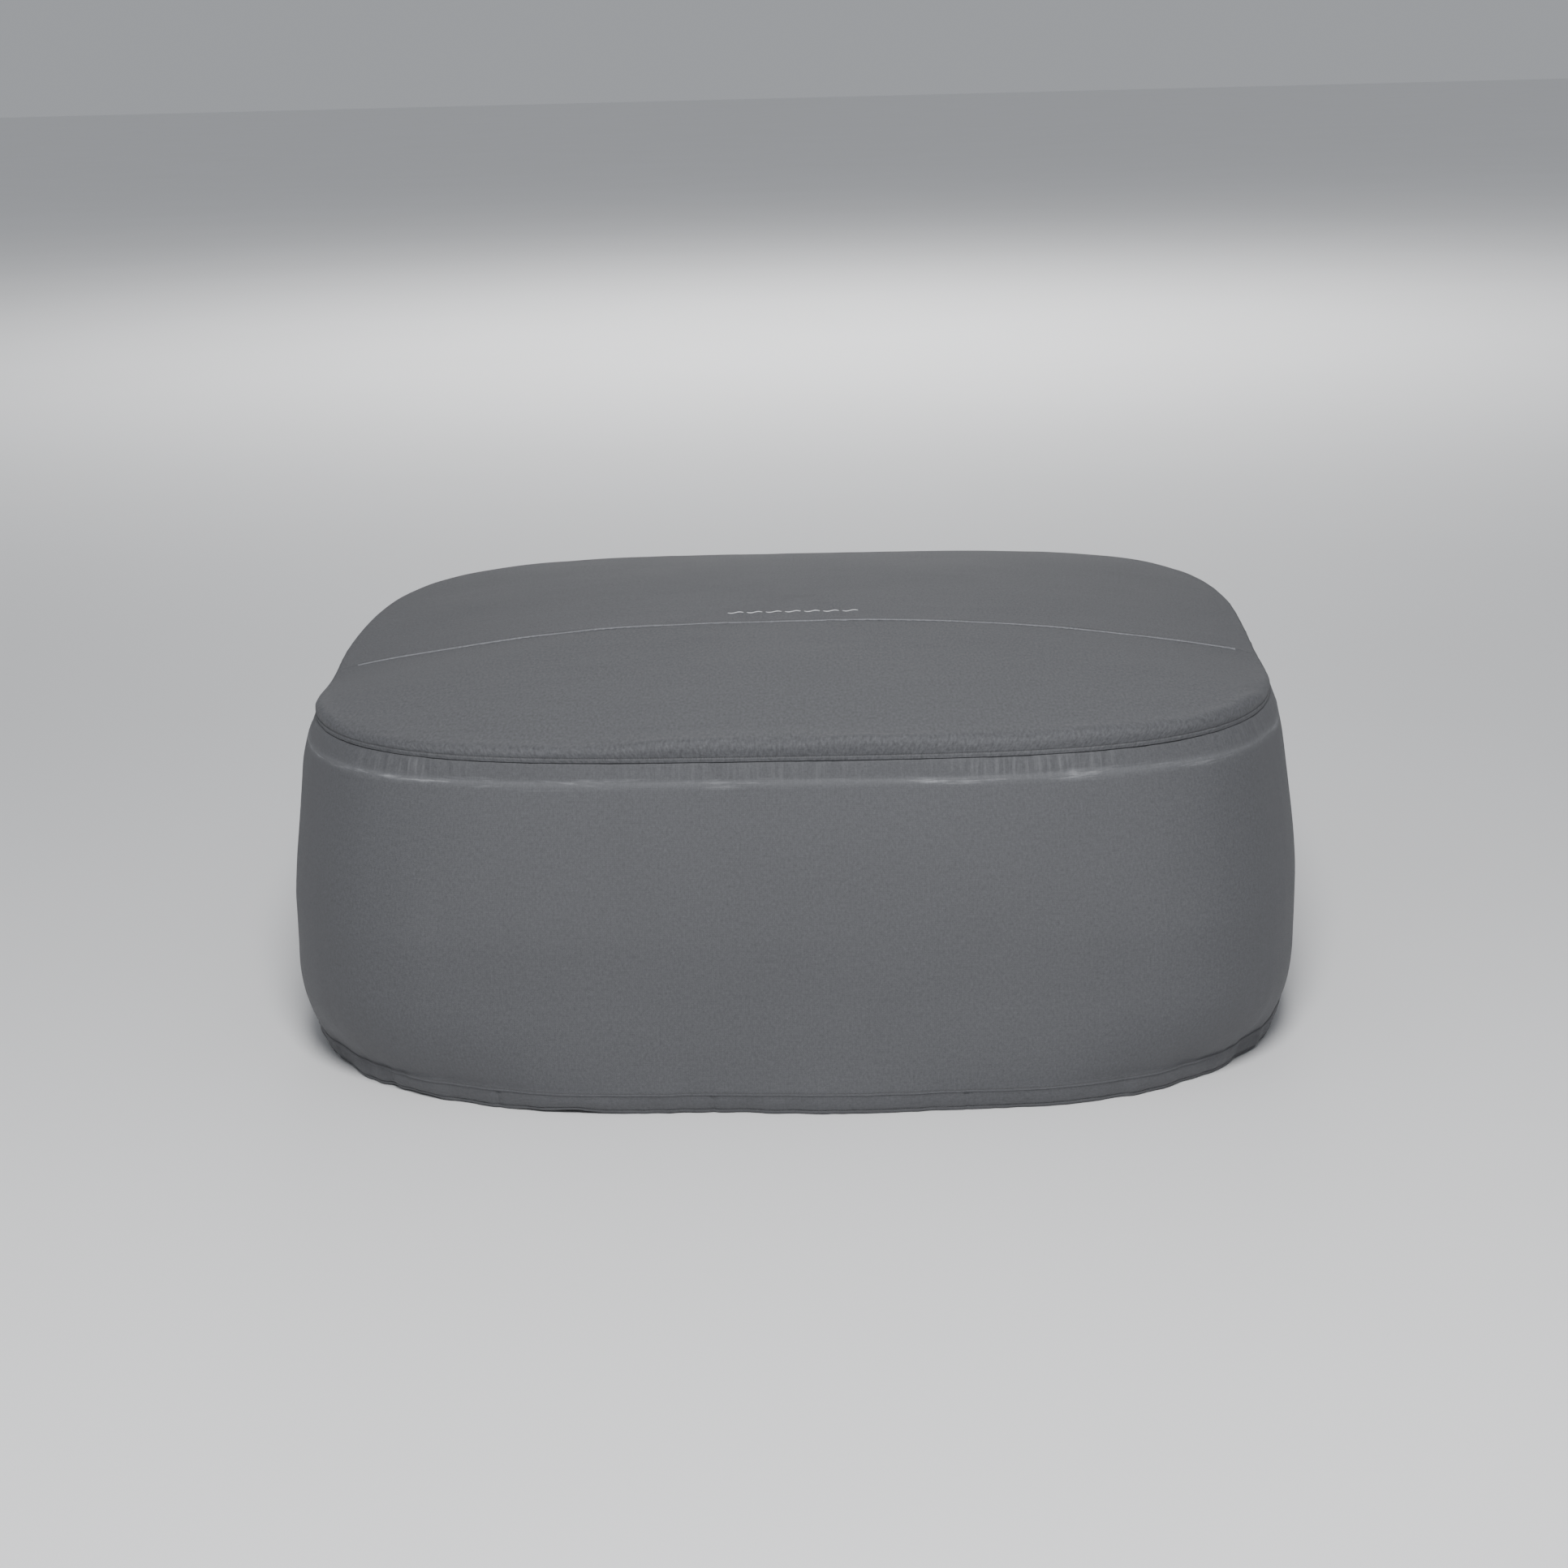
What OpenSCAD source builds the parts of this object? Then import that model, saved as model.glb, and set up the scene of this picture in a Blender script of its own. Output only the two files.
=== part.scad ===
// Full cover for a square inflatable spa: a coated-fabric cap with a deep skirt,
// lined with foam and foil, with an elastic hem and a hose flap at the back.
// Millimetres. +Z is up, the front faces -Y, and the hem stands on z = 0.

/* [Plan] */
// Half of the width across the middle of a side
mid_half = 911; // [700:1100]
// Half of the width where the hem bulges over the elastic
hem_half = 917; // [705:1110]
// Half of the width at the very bottom, where the elastic tucks the hem in
base_half = 905; // [690:1095]
// Half of the width at the seam round the top
seam_half = 886; // [680:1080]
// Squareness of the plan at mid height; 2 is a circle and 8 is nearly square
mid_square = 4.7; // [2.5:0.1:8]
// Squareness of the plan at the top seam
seam_square = 3.7; // [2.5:0.1:8]
// Squareness of the plan at the hem, where the elastic rounds the corners
hem_square = 3.4; // [2.5:0.1:8]

/* [Heights] */
// Height of the seam between skirt and top
seam_z = 613; // [450:750]
// Rise of the domed top above its seam
dome_h = 88; // [50:160]
// Width and height of the bevelled band between the seam and the shoulder
band_w = 24; // [12:40]
// Height of the hem casing
hem_h = 42; // [30:60]

/* [Layers] */
// Thickness of the coated outer fabric
skin_t = 2; // [1:0.5:3]
// Thickness of the closed-cell foam boards
foam_t = 12; // [6:1:20]
// Thickness of the foil lining
foil_t = 1; // [0.5:0.5:2]
// Gap between neighbouring layers
layer_gap = 1; // [0.5:0.1:1.5]

/* [Top] */
// Distance of the cross seam in front of the centre of the top
cross_seam_y = 205; // [100:400]
// Width of the lapped cross seam
cross_seam_w = 12; // [8:20]
// Width of one stroke of the printed wave mark
wave_w = 30; // [15:40]

/* [Hose flap] */
// Half of the opening's width, as degrees round the plan
open_deg = 15; // [8:1:20]
// Height of the opening
open_h = 420; // [250:480]
// Overlap of the flap past the opening's binding, in degrees
flap_lap_deg = 4; // [3:1:6]
// Height of the flap's hinge seam above the top of the opening
flap_lap_z = 34; // [25:60]
// Thickness of the flap's thin foam
flap_foam_t = 4; // [3:8]

/* [Hidden] */

rear = 90;               // direction of the rear side round the plan
front = 270;             // direction of the front side
turn = 360;              // a full turn
sweep_step = 5;          // spacing of the rings' points round the plan
skin_colour = [0.42, 0.42, 0.44];
dark_colour = [0.25, 0.25, 0.27];
foam_colour = [0.88, 0.88, 0.86];
foil_colour = [0.78, 0.79, 0.80];
tape_colour = [0.12, 0.12, 0.13];
mark_colour = [0.85, 0.85, 0.86];

bulge_z = 46;            // height of the hem's widest ring
tuck_z = 200;            // above this the wall is at its mid width
lean_z = 300;            // above this the wall leans in towards the seam
dome_power = 2.2;        // fullness of the dome
crown_square = 2.4;      // squareness of the plan near the crown
shoulder_s = 1 - band_w / seam_half;         // scale of the ring at the shoulder
dome_scales = [shoulder_s, 0.92, 0.83, 0.7, 0.53, 0.33, 0.14];   // its rings inside the edge

board_split = 30;        // side boards reach this many degrees from their middle
panel_split = 32;        // the rear panel reaches this many degrees from the middle
joint_deg = 0.04;        // half of the gap between boards that meet
bind_deg = 1;            // width of the opening's binding, in degrees
bind_t = 2;              // thickness of the binding on the lining's side
tape_w = 24;             // width of the seam tapes
tape_t = 1.2;            // thickness of hook, loop and seam tapes

foam_d = skin_t + layer_gap;                 // depth of the foam's outer face
foil_d = foam_d + foam_t + layer_gap;        // depth of the lining's outer face
inner_d = foil_d + foil_t;                   // depth of the inside surface
board_top = seam_z - 23;                     // top edge of the skirt's boards
skirt_bottom = hem_h + 0.4;                  // the skirt stands on the hem casing
skirt_top = seam_z - skin_t - 0.4;           // and ends under the top panel
cut_deg = open_deg + bind_deg + joint_deg;   // layers stop here beside the opening
cut_z = open_h + 16.5;                       // and here above it

flap_gap = 0.8;                              // gap between the flap's layers
flap_skin_t = 1.5;                           // thickness of its outer fabric
loop_d = -flap_gap;                          // loop tapes lie on the rear panel
hook_d = loop_d - tape_t - flap_gap;         // hook tapes lie on the loop tapes
flap_d = hook_d - tape_t - flap_gap;         // inner face of the flap's lining
flap_foam_d = flap_d - foil_t - flap_gap;    // inner face of the flap's foam
flap_skin_d = flap_foam_d - flap_foam_t - flap_gap;
flap_out_d = flap_skin_d - flap_skin_t;      // outer face of the flap
flap_deg = open_deg + bind_deg + flap_lap_deg;
flap_bottom = 8;                             // clearance under the flap
hem_turn = 12;                               // depth of the flap's bottom binding
flap_top = open_h + flap_lap_z;              // height of the hinge line
flap_edge_deg = 0.6;                         // width of the flap's edge binding

// ---- plan and profile -------------------------------------------------------

function mix(a, b, t) = a + (b - a) * t;

// Half width of the outside of the wall at height z
function wall_half(z) =
    z < bulge_z ? mix(base_half, hem_half, sin(90 * z / bulge_z)) :
    z < tuck_z ? mix(hem_half, mid_half, (z - bulge_z) / (tuck_z - bulge_z)) :
    z < lean_z ? mid_half :
    mix(mid_half, seam_half, pow((z - lean_z) / (seam_z - lean_z), 1.4));

// Squareness of the wall's plan at height z
function wall_square(z) =
    z < bulge_z ? hem_square :
    z < tuck_z ? mix(hem_square, mid_square, sin(90 * (z - bulge_z) / (tuck_z - bulge_z))) :
    z < lean_z ? mid_square :
    mix(mid_square, seam_square, (z - lean_z) / (seam_z - lean_z));

// Distance of a unit superellipse from its centre in direction a
function plan_reach(a, n) =
    pow(pow(abs(cos(a)), n) + pow(abs(sin(a)), n), -1 / n);

function plan_point(half, n, a, z) =
    [half * plan_reach(a, n) * cos(a), half * plan_reach(a, n) * sin(a), z];

// Height of the outer face of the top at a ring of scale s
function dome_z(s) = seam_z + (
    s > shoulder_s ? band_w * (1 - s) / (1 - shoulder_s) :
    band_w + (dome_h - band_w) * (1 - pow(s / shoulder_s, dome_power)));

// Where the plan is sampled, over three turns so that a range may cross zero.
// The rear panel's two seams are among them, so that every layer bends there alike.
plan_directions = [
    for (k = [-1 : 1], a = [0 : sweep_step : turn - sweep_step]) each
        let(left = rear + panel_split, right = rear - panel_split)
        a < left && left < a + sweep_step ? [a + k * turn, left + k * turn] :
        a < right && right < a + sweep_step ? [a + k * turn, right + k * turn] :
        [a + k * turn]
];

// Directions from a0 to a1: both ends and every sampled direction between
function directions(a0, a1) =
    concat([a0], [for (a = plan_directions) if (a > a0 + 0.2 && a < a1 - 0.2) a], [a1]);

// ---- building blocks --------------------------------------------------------

// A row is [outer half, outer z, inner half, inner z, squareness]. The solid
// joins the rows' points from direction a0 to a1, with flat ends.
module sweep(rows, a0, a1) {
    dirs = directions(a0, a1);
    m = len(rows);
    k = len(dirs);
    points = [
        for (a = dirs) each concat(
            [for (r = rows) plan_point(r[0], r[4], a, r[1])],
            [for (r = rows) plan_point(r[2], r[4], a, r[3])])
    ];
    faces = concat(
        [for (i = [0 : k - 2], j = [0 : m - 2])
            [out(m, i, j), out(m, i, j + 1), out(m, i + 1, j + 1), out(m, i + 1, j)]],
        [for (i = [0 : k - 2], j = [0 : m - 2])
            [inn(m, i, j), inn(m, i + 1, j), inn(m, i + 1, j + 1), inn(m, i, j + 1)]],
        [for (i = [0 : k - 2])
            [out(m, i, m - 1), inn(m, i, m - 1), inn(m, i + 1, m - 1), out(m, i + 1, m - 1)]],
        [for (i = [0 : k - 2])
            [out(m, i, 0), out(m, i + 1, 0), inn(m, i + 1, 0), inn(m, i, 0)]],
        [for (j = [0 : m - 2])
            [inn(m, 0, j), inn(m, 0, j + 1), out(m, 0, j + 1), out(m, 0, j)]],
        [for (j = [0 : m - 2])
            [inn(m, k - 1, j), out(m, k - 1, j), out(m, k - 1, j + 1), inn(m, k - 1, j + 1)]]);
    polyhedron(points = points, faces = faces, convexity = 8);
}

function out(m, i, j) = i * 2 * m + j;
function inn(m, i, j) = i * 2 * m + m + j;

// Heights from z0 to z1 at which the wall's profile is sampled
function wall_heights(z0, z1) = concat(
    [z0],
    [for (z = [flap_bottom + hem_turn, bulge_z, 110, tuck_z, lean_z, open_h, 520, board_top])
        if (z > z0 + 2 && z < z1 - 2) z],
    [z1]);

// A layer of the wall between two depths under its outer face
module wall_layer(d0, d1, z0, z1, a0, a1) {
    sweep(
        [for (z = wall_heights(z0, z1))
            [wall_half(z) - d0, z, wall_half(z) - d1, z, wall_square(z)]],
        a0, a1);
}

// A layer of the domed top between two depths, out to edge_half
module dome_layer(d0, d1, edge_half) {
    k = turn / sweep_step;
    m = len(dome_scales) + 1;
    crown = k * m;
    points = concat(
        dome_rings(edge_half, d0), [[0, 0, dome_z(0) - d0]],
        dome_rings(edge_half, d1), [[0, 0, dome_z(0) - d1]]);
    low = crown + 1;
    faces = concat(
        [for (i = [0 : m - 2], j = [0 : k - 1])
            [i * k + j, (i + 1) * k + j, (i + 1) * k + (j + 1) % k, i * k + (j + 1) % k]],
        [for (j = [0 : k - 1])
            [(m - 1) * k + j, crown, (m - 1) * k + (j + 1) % k]],
        [for (i = [0 : m - 2], j = [0 : k - 1])
            [low + i * k + j, low + i * k + (j + 1) % k,
             low + (i + 1) * k + (j + 1) % k, low + (i + 1) * k + j]],
        [for (j = [0 : k - 1])
            [low + (m - 1) * k + j, low + (m - 1) * k + (j + 1) % k, low + crown]],
        [for (j = [0 : k - 1])
            [j, (j + 1) % k, low + (j + 1) % k, low + j]]);
    polyhedron(points = points, faces = faces, convexity = 4);
}

// The rings of one face. All but the edge lie over each other in every layer.
function dome_rings(edge_half, d) = [
    for (s = concat([edge_half / seam_half], dome_scales))
        for (a = [0 : sweep_step : turn - sweep_step])
            plan_point(seam_half * s, mix(crown_square, seam_square, s), a, dome_z(s) - d)
];

// Everything in front of the cross seam, or behind it
module front_of_seam() {
    translate([-mid_half * 2, -mid_half * 2, 0])
        cube([mid_half * 4, mid_half * 2 - cross_seam_y - joint_deg * 5, seam_z * 2]);
}

module behind_seam() {
    translate([-mid_half * 2, -cross_seam_y + joint_deg * 5, 0])
        cube([mid_half * 4, mid_half * 4, seam_z * 2]);
}

// The wedge of space cut away for the hose opening
module opening_cut() {
    reach = mid_half * 2;
    rotate([0, 0, rear])
        translate([0, 0, -hem_h])
            linear_extrude(cut_z + hem_h)
                polygon([[0, 0], [reach, -reach * tan(cut_deg)], [reach, reach * tan(cut_deg)]]);
}

// ---- top --------------------------------------------------------------------

module top_panel_front() {
    color(skin_colour)
        intersection() {
            dome_layer(0, skin_t, seam_half);
            front_of_seam();
        }
}

module top_panel_rear() {
    color(skin_colour)
        intersection() {
            dome_layer(0, skin_t, seam_half);
            behind_seam();
        }
}

// A strip across the top that stands a little proud of both panels
module top_cross_seam() {
    reach = 0.93 * seam_half;
    strip_steps = 24;
    color(skin_colour)
        strip_over_dome(
            [for (i = [-strip_steps / 2 : strip_steps / 2]) 2 * reach * i / strip_steps],
            -cross_seam_y, cross_seam_w, 0.9, 0.2);
}

// Height of the top's outer face over the point x, y
function dome_over(x, y) =
    dome_z(min(1, pow(pow(abs(x), seam_square) + pow(abs(y), seam_square),
        1 / seam_square) / seam_half));

// A band along X that follows the dome, from lift below to lift + t above it
module strip_over_dome(xs, y, w, t, lift) {
    k = len(xs);
    points = [
        for (x = xs, side = [-1, 1], level = [lift, lift + t])
            [x, y + side * w / 2, dome_over(x, y) + level]
    ];
    faces = concat(
        [for (i = [0 : k - 2]) each [
            [4 * i + 1, 4 * i + 3, 4 * i + 7, 4 * i + 5],
            [4 * i, 4 * i + 4, 4 * i + 6, 4 * i + 2],
            [4 * i, 4 * i + 1, 4 * i + 5, 4 * i + 4],
            [4 * i + 2, 4 * i + 6, 4 * i + 7, 4 * i + 3]]],
        [[0, 2, 3, 1],
         [4 * k - 4, 4 * k - 3, 4 * k - 1, 4 * k - 2]]);
    polyhedron(points = points, faces = faces, convexity = 4);
}

// A plain row of ripples behind the cross seam
module top_wave_mark() {
    ripples = 7;
    color(mark_colour)
        for (i = [0 : ripples - 1])
            ripple((i - (ripples - 1) / 2) * wave_w * 1.22, -cross_seam_y + 82);
}

module ripple(x, y) {
    ripple_h = 5;
    bend_steps = 6;
    sheet_t = 0.3;
    lift = 3;
    stroke = 4;
    xs = [for (i = [0 : bend_steps]) x + wave_w * (i / bend_steps - 0.5)];
    ys = [for (i = [0 : bend_steps]) y + ripple_h * sin(turn * i / bend_steps)];
    points = [
        for (i = [0 : bend_steps], side = [-1, 1], level = [lift, lift + sheet_t])
            [xs[i], ys[i] + side * stroke / 2, dome_over(x, y) + level]
    ];
    k = bend_steps + 1;
    faces = concat(
        [for (i = [0 : k - 2]) each [
            [4 * i + 1, 4 * i + 3, 4 * i + 7, 4 * i + 5],
            [4 * i, 4 * i + 4, 4 * i + 6, 4 * i + 2],
            [4 * i, 4 * i + 1, 4 * i + 5, 4 * i + 4],
            [4 * i + 2, 4 * i + 6, 4 * i + 7, 4 * i + 3]]],
        [[0, 2, 3, 1],
         [4 * k - 4, 4 * k - 3, 4 * k - 1, 4 * k - 2]]);
    polyhedron(points = points, faces = faces, convexity = 4);
}

// The tape that covers the seam's raw edges, inside the skirt's upper edge
module top_edge_seam_tape() {
    low_gap = 2;
    tape_gap_deg = 0.3;
    color(tape_colour)
        wall_layer(foam_d, foam_d + 2 * tape_t, board_top + low_gap, skirt_top - layer_gap,
            rear, rear + turn - tape_gap_deg);
}

module top_foam_front() {
    color(foam_colour)
        intersection() {
            dome_layer(foam_d, foam_d + foam_t, seam_half - 8);
            front_of_seam();
        }
}

module top_foam_rear() {
    color(foam_colour)
        intersection() {
            dome_layer(foam_d, foam_d + foam_t, seam_half - 8);
            behind_seam();
        }
}

module top_lining() {
    color(foil_colour) dome_layer(foil_d, inner_d, seam_half - foil_d - 4);
}

// ---- skirt ------------------------------------------------------------------

module skirt_panel_wrap() {
    color(skin_colour)
        wall_layer(0, skin_t, skirt_bottom, skirt_top,
            rear + panel_split + joint_deg, rear + turn - panel_split - joint_deg);
}

module skirt_panel_rear() {
    color(skin_colour)
        difference() {
            wall_layer(0, skin_t, skirt_bottom, skirt_top,
                rear - panel_split + joint_deg, rear + panel_split - joint_deg);
            opening_cut();
        }
}

// One lapped tape over each upright seam at the back
module skirt_seam_tapes() {
    half_deg = 0.4;
    color(skin_colour)
        for (side = [-1, 1])
            wall_layer(-flap_gap - tape_t, -flap_gap, skirt_bottom + 4, skirt_top,
                rear + side * panel_split - half_deg, rear + side * panel_split + half_deg);
}

module skirt_lining_wrap() {
    color(foil_colour)
        wall_layer(foil_d, inner_d, skirt_bottom, board_top,
            rear + panel_split + joint_deg, rear + turn - panel_split - joint_deg);
}

module skirt_lining_rear() {
    color(foil_colour)
        difference() {
            wall_layer(foil_d, inner_d, skirt_bottom, board_top,
                rear - panel_split + joint_deg, rear + panel_split - joint_deg);
            opening_cut();
        }
}

// A foam board of the skirt between two directions
module skirt_board(a0, a1, z0 = skirt_bottom) {
    color(foam_colour)
        wall_layer(foam_d, foam_d + foam_t, z0, board_top, a0 + joint_deg, a1 - joint_deg);
}

module skirt_foam_front() {
    skirt_board(front - board_split, front + board_split);
}

module skirt_foam_left() {
    skirt_board(180 - board_split, 180 + board_split);
}

module skirt_foam_right() {
    skirt_board(-board_split, board_split);
}

module skirt_foam_rear_left() {
    skirt_board(rear + cut_deg, rear + board_split);
}

module skirt_foam_rear_right() {
    skirt_board(rear - board_split, rear - cut_deg);
}

module skirt_foam_rear_top() {
    skirt_board(rear - cut_deg, rear + cut_deg, cut_z);
}

// Boards that bend round a corner; the corner's middle is direction a
module corner_board(a) {
    skirt_board(a - 45 + board_split, a + 45 - board_split);
}

module skirt_foam_corner_front_left() {
    corner_board(225);
}

module skirt_foam_corner_front_right() {
    corner_board(315);
}

module skirt_foam_corner_rear_left() {
    corner_board(135);
}

module skirt_foam_corner_rear_right() {
    corner_board(45);
}

// ---- hem --------------------------------------------------------------------

hem_wall = 2;      // thickness of the folded casing
hem_deep = 15;     // depth of the casing from outside to inside
hem_open = rear + cut_deg;
hem_close = rear + turn - cut_deg;

// A fold of fabric, open at its top where it is sewn to the skirt
module hem_casing() {
    fold = 4;
    rows = [
        [-hem_deep, hem_h, -hem_deep + hem_wall, hem_h],
        [-hem_deep, fold, -hem_deep + hem_wall, fold + 1],
        [-hem_deep + fold, 0, -hem_deep + fold + 1, hem_wall],
        [-fold, 0, -fold - 1, hem_wall],
        [0, fold, -hem_wall, fold + 1],
        [0, hem_h / 2, -hem_wall, hem_h / 2],
        [0, hem_h, -hem_wall, hem_h]
    ];
    color(dark_colour)
        sweep(
            [for (r = rows)
                [wall_half(r[1]) + r[0], r[1], wall_half(r[1]) + r[2], r[3], hem_square]],
            hem_open, hem_close);
}

module hem_elastic() {
    band_z = 9;
    band_w = 24;
    color(foam_colour)
        sweep(
            [for (z = [band_z, band_z + band_w])
                [wall_half(z) - 5, z, wall_half(z) - 10, z, hem_square]],
            hem_open + 0.5, hem_close - 0.5);
}

// Bar tacks that hold the elastic's two ends
module hem_elastic_tacks() {
    tack_deg = 0.25;
    tack_in = 3;
    color(tape_colour)
        for (a = [hem_open + tack_in, hem_close - tack_in])
            sweep(
                [for (z = [8, hem_h - 8])
                    [wall_half(z) + 2.4, z, wall_half(z) + 1.4, z, hem_square]],
                a - tack_deg, a + tack_deg);
}

// A blank label sewn to the lining beside the opening
module care_label() {
    label_at = rear + 20;
    color("white")
        wall_layer(inner_d + 1, inner_d + 1.6, 110, tuck_z, label_at, label_at + sweep_step);
}

// ---- hose opening and flap --------------------------------------------------

// Binding folded over the raw edges on both sides and the top of the opening
module opening_binding() {
    outer = 0.2;
    inner = inner_d + bind_t;
    foot = 3;
    slack_deg = 0.02;
    color(tape_colour)
        union() {
            for (side = [-1, 1])
                wall_layer(outer, inner, foot, open_h + 8,
                    rear + side * (open_deg + bind_deg / 2) - bind_deg / 2 + slack_deg,
                    rear + side * (open_deg + bind_deg / 2) + bind_deg / 2 - slack_deg);
            wall_layer(outer, inner, open_h, open_h + 16,
                rear - open_deg - bind_deg + slack_deg, rear + open_deg + bind_deg - slack_deg);
        }
}

// Loop tapes on the rear panel, one each side of the opening
module opening_loop_tapes() {
    color(tape_colour)
        for (side = [-1, 1])
            closure_tape(side, loop_d);
}

module flap_hook_tapes() {
    color(tape_colour)
        for (side = [-1, 1])
            closure_tape(side, hook_d);
}

// One upright hook or loop tape whose inner face is at depth d
module closure_tape(side, d) {
    middle = open_deg + bind_deg + flap_lap_deg / 2;
    half_deg = 0.75;
    wall_layer(d - tape_t, d, bulge_z, open_h,
        rear + side * middle - half_deg, rear + side * middle + half_deg);
}

// A layer of the flap, inset from its edges
module flap_layer(d0, d1, inset_deg, inset_z) {
    wall_layer(d0, d1, flap_bottom + inset_z, flap_top - 1,
        rear - flap_deg + inset_deg, rear + flap_deg - inset_deg);
}

module flap_panel() {
    color(skin_colour) flap_layer(flap_out_d, flap_skin_d, 0, 0);
}

module flap_foam() {
    color(foam_colour)
        flap_layer(flap_foam_d - flap_foam_t, flap_foam_d, flap_edge_deg + 0.1, hem_turn);
}

module flap_lining() {
    color(foil_colour)
        flap_layer(flap_d - foil_t, flap_d, flap_edge_deg + 0.1, hem_turn);
}

// Binding round the three free edges, behind the outer panel
module flap_binding() {
    outer = flap_skin_d + flap_gap;
    low = flap_bottom;
    color(tape_colour)
        union() {
            for (side = [-1, 1])
                wall_layer(outer, flap_d, low, flap_top - 1,
                    rear + side * (flap_deg - flap_edge_deg / 2) - flap_edge_deg / 2,
                    rear + side * (flap_deg - flap_edge_deg / 2) + flap_edge_deg / 2);
            wall_layer(outer, flap_d, low, low + hem_turn - flap_gap,
                rear - flap_deg + 0.1, rear + flap_deg - 0.1);
        }
}

// A webbing tab to peel the flap open with
module flap_pull_tab() {
    tab_deg = 0.9;
    color(tape_colour)
        wall_layer(flap_out_d - 2.2, flap_out_d - flap_gap, flap_bottom + hem_turn, 110,
            rear - tab_deg, rear + tab_deg);
}

// The stitched band over the flap's top edge
module flap_top_tape() {
    color(tape_colour)
        wall_layer(-2.3, -flap_gap, flap_top + 1, flap_top + tape_w,
            rear - flap_deg, rear + flap_deg);
}

top_panel_front();
top_panel_rear();
top_cross_seam();
top_wave_mark();
top_edge_seam_tape();
top_foam_front();
top_foam_rear();
top_lining();
skirt_panel_wrap();
skirt_panel_rear();
skirt_seam_tapes();
skirt_lining_wrap();
skirt_lining_rear();
skirt_foam_front();
skirt_foam_left();
skirt_foam_right();
skirt_foam_rear_left();
skirt_foam_rear_right();
skirt_foam_rear_top();
skirt_foam_corner_front_left();
skirt_foam_corner_front_right();
skirt_foam_corner_rear_left();
skirt_foam_corner_rear_right();
hem_casing();
hem_elastic();
hem_elastic_tacks();
care_label();
opening_binding();
opening_loop_tapes();
flap_panel();
flap_foam();
flap_lining();
flap_binding();
flap_hook_tapes();
flap_pull_tab();
flap_top_tape();
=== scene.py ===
# %% [markdown]
# # A full cover for a square inflatable spa
# The cover is a cap of coated fabric pulled over the tub: a domed top in two pieces,
# a deep skirt, and a hem drawn in by elastic. Foam and foil line it. Each cloth piece
# is a grid of points on one smooth form, so neighbours meet along their seams.

# %% Load the frame
import math

import bmesh
import bpy
import numpy as np
from mathutils import Matrix, Vector


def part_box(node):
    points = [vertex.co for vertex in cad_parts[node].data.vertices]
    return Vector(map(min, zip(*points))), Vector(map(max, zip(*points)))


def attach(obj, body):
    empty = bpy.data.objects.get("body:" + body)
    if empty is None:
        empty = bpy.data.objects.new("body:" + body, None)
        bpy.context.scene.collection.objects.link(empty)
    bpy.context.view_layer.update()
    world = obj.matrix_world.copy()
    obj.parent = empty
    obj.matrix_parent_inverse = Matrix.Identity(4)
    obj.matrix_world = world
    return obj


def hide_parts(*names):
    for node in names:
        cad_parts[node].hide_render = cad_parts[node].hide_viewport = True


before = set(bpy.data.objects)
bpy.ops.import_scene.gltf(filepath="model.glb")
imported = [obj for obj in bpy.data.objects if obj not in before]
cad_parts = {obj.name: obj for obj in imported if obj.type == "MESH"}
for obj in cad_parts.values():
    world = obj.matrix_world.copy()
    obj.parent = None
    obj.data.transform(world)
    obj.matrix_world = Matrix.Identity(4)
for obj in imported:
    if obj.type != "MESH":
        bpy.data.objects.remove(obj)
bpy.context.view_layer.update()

# %% [markdown]
# ## Camera
# A 60 mm lens stands five metres from the middle of the cover, as high as a standing
# person's eyes, and looks down. The camera is tipped by a degree and a half, so the right
# end of the cover sits higher in the view.

# %% Camera
camera_data = bpy.data.cameras.new("camera")
camera_data.lens = 60
camera_data.sensor_width = 36
camera = bpy.data.objects.new("camera", camera_data)
bpy.context.scene.collection.objects.link(camera)
bpy.context.scene.camera = camera
camera_pitch = math.radians(15.88)
camera_heading = 0.037
camera_roll = math.radians(-1.48)
camera.matrix_world = (
    Matrix.Translation((0.156, -5.022, 1.751))
    @ Matrix.Rotation(camera_heading, 4, "Z")
    @ Matrix.Rotation(math.pi / 2 - camera_pitch, 4, "X")
    @ Matrix.Rotation(camera_roll, 4, "Z")
)
print("camera at", [round(x, 2) for x in camera.location])

# %% [markdown]
# ## Floor and light
# Two soft discs light a pale floor. The key stands in front and above. The other hangs
# behind, over the far floor, and its glancing reflection shows the dome. Grey fabric
# shows its form only by slow changes of brightness, so no light is small or hard.

# %% Floor and light
def area_light(name, place, target, size, power):
    data = bpy.data.lights.new(name, "AREA")
    data.shape = "DISK"
    data.size = size
    data.energy = power
    lamp = bpy.data.objects.new(name, data)
    bpy.context.scene.collection.objects.link(lamp)
    lamp.location = place
    lamp.rotation_euler = (Vector(target) - Vector(place)).to_track_quat("-Z", "Y").to_euler()
    return lamp


area_light("key_light", (0.15, -4.0, 3.9), (0, -0.2, 0.35), 1.4, 276)
area_light("back_light", (0, 11.0, 6.0), (0, 12.4, 0), 7.0, 850)

world = bpy.data.worlds.new("studio")
world.use_nodes = True
world.node_tree.nodes["Background"].inputs["Color"].default_value = (0.90, 0.93, 0.98, 1)
world.node_tree.nodes["Background"].inputs["Strength"].default_value = 0.41
bpy.context.scene.world = world

floor_size = 80
floor_mesh = bpy.data.meshes.new("floor")
floor_mesh.from_pydata(
    [(x * floor_size, y * floor_size, 0) for x, y in ((-1, -1), (1, -1), (1, 1), (-1, 1))],
    [],
    [(0, 1, 2, 3)],
)
floor = bpy.data.objects.new("floor", floor_mesh)
bpy.context.scene.collection.objects.link(floor)
print("lights:", len(bpy.data.lights))

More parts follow.
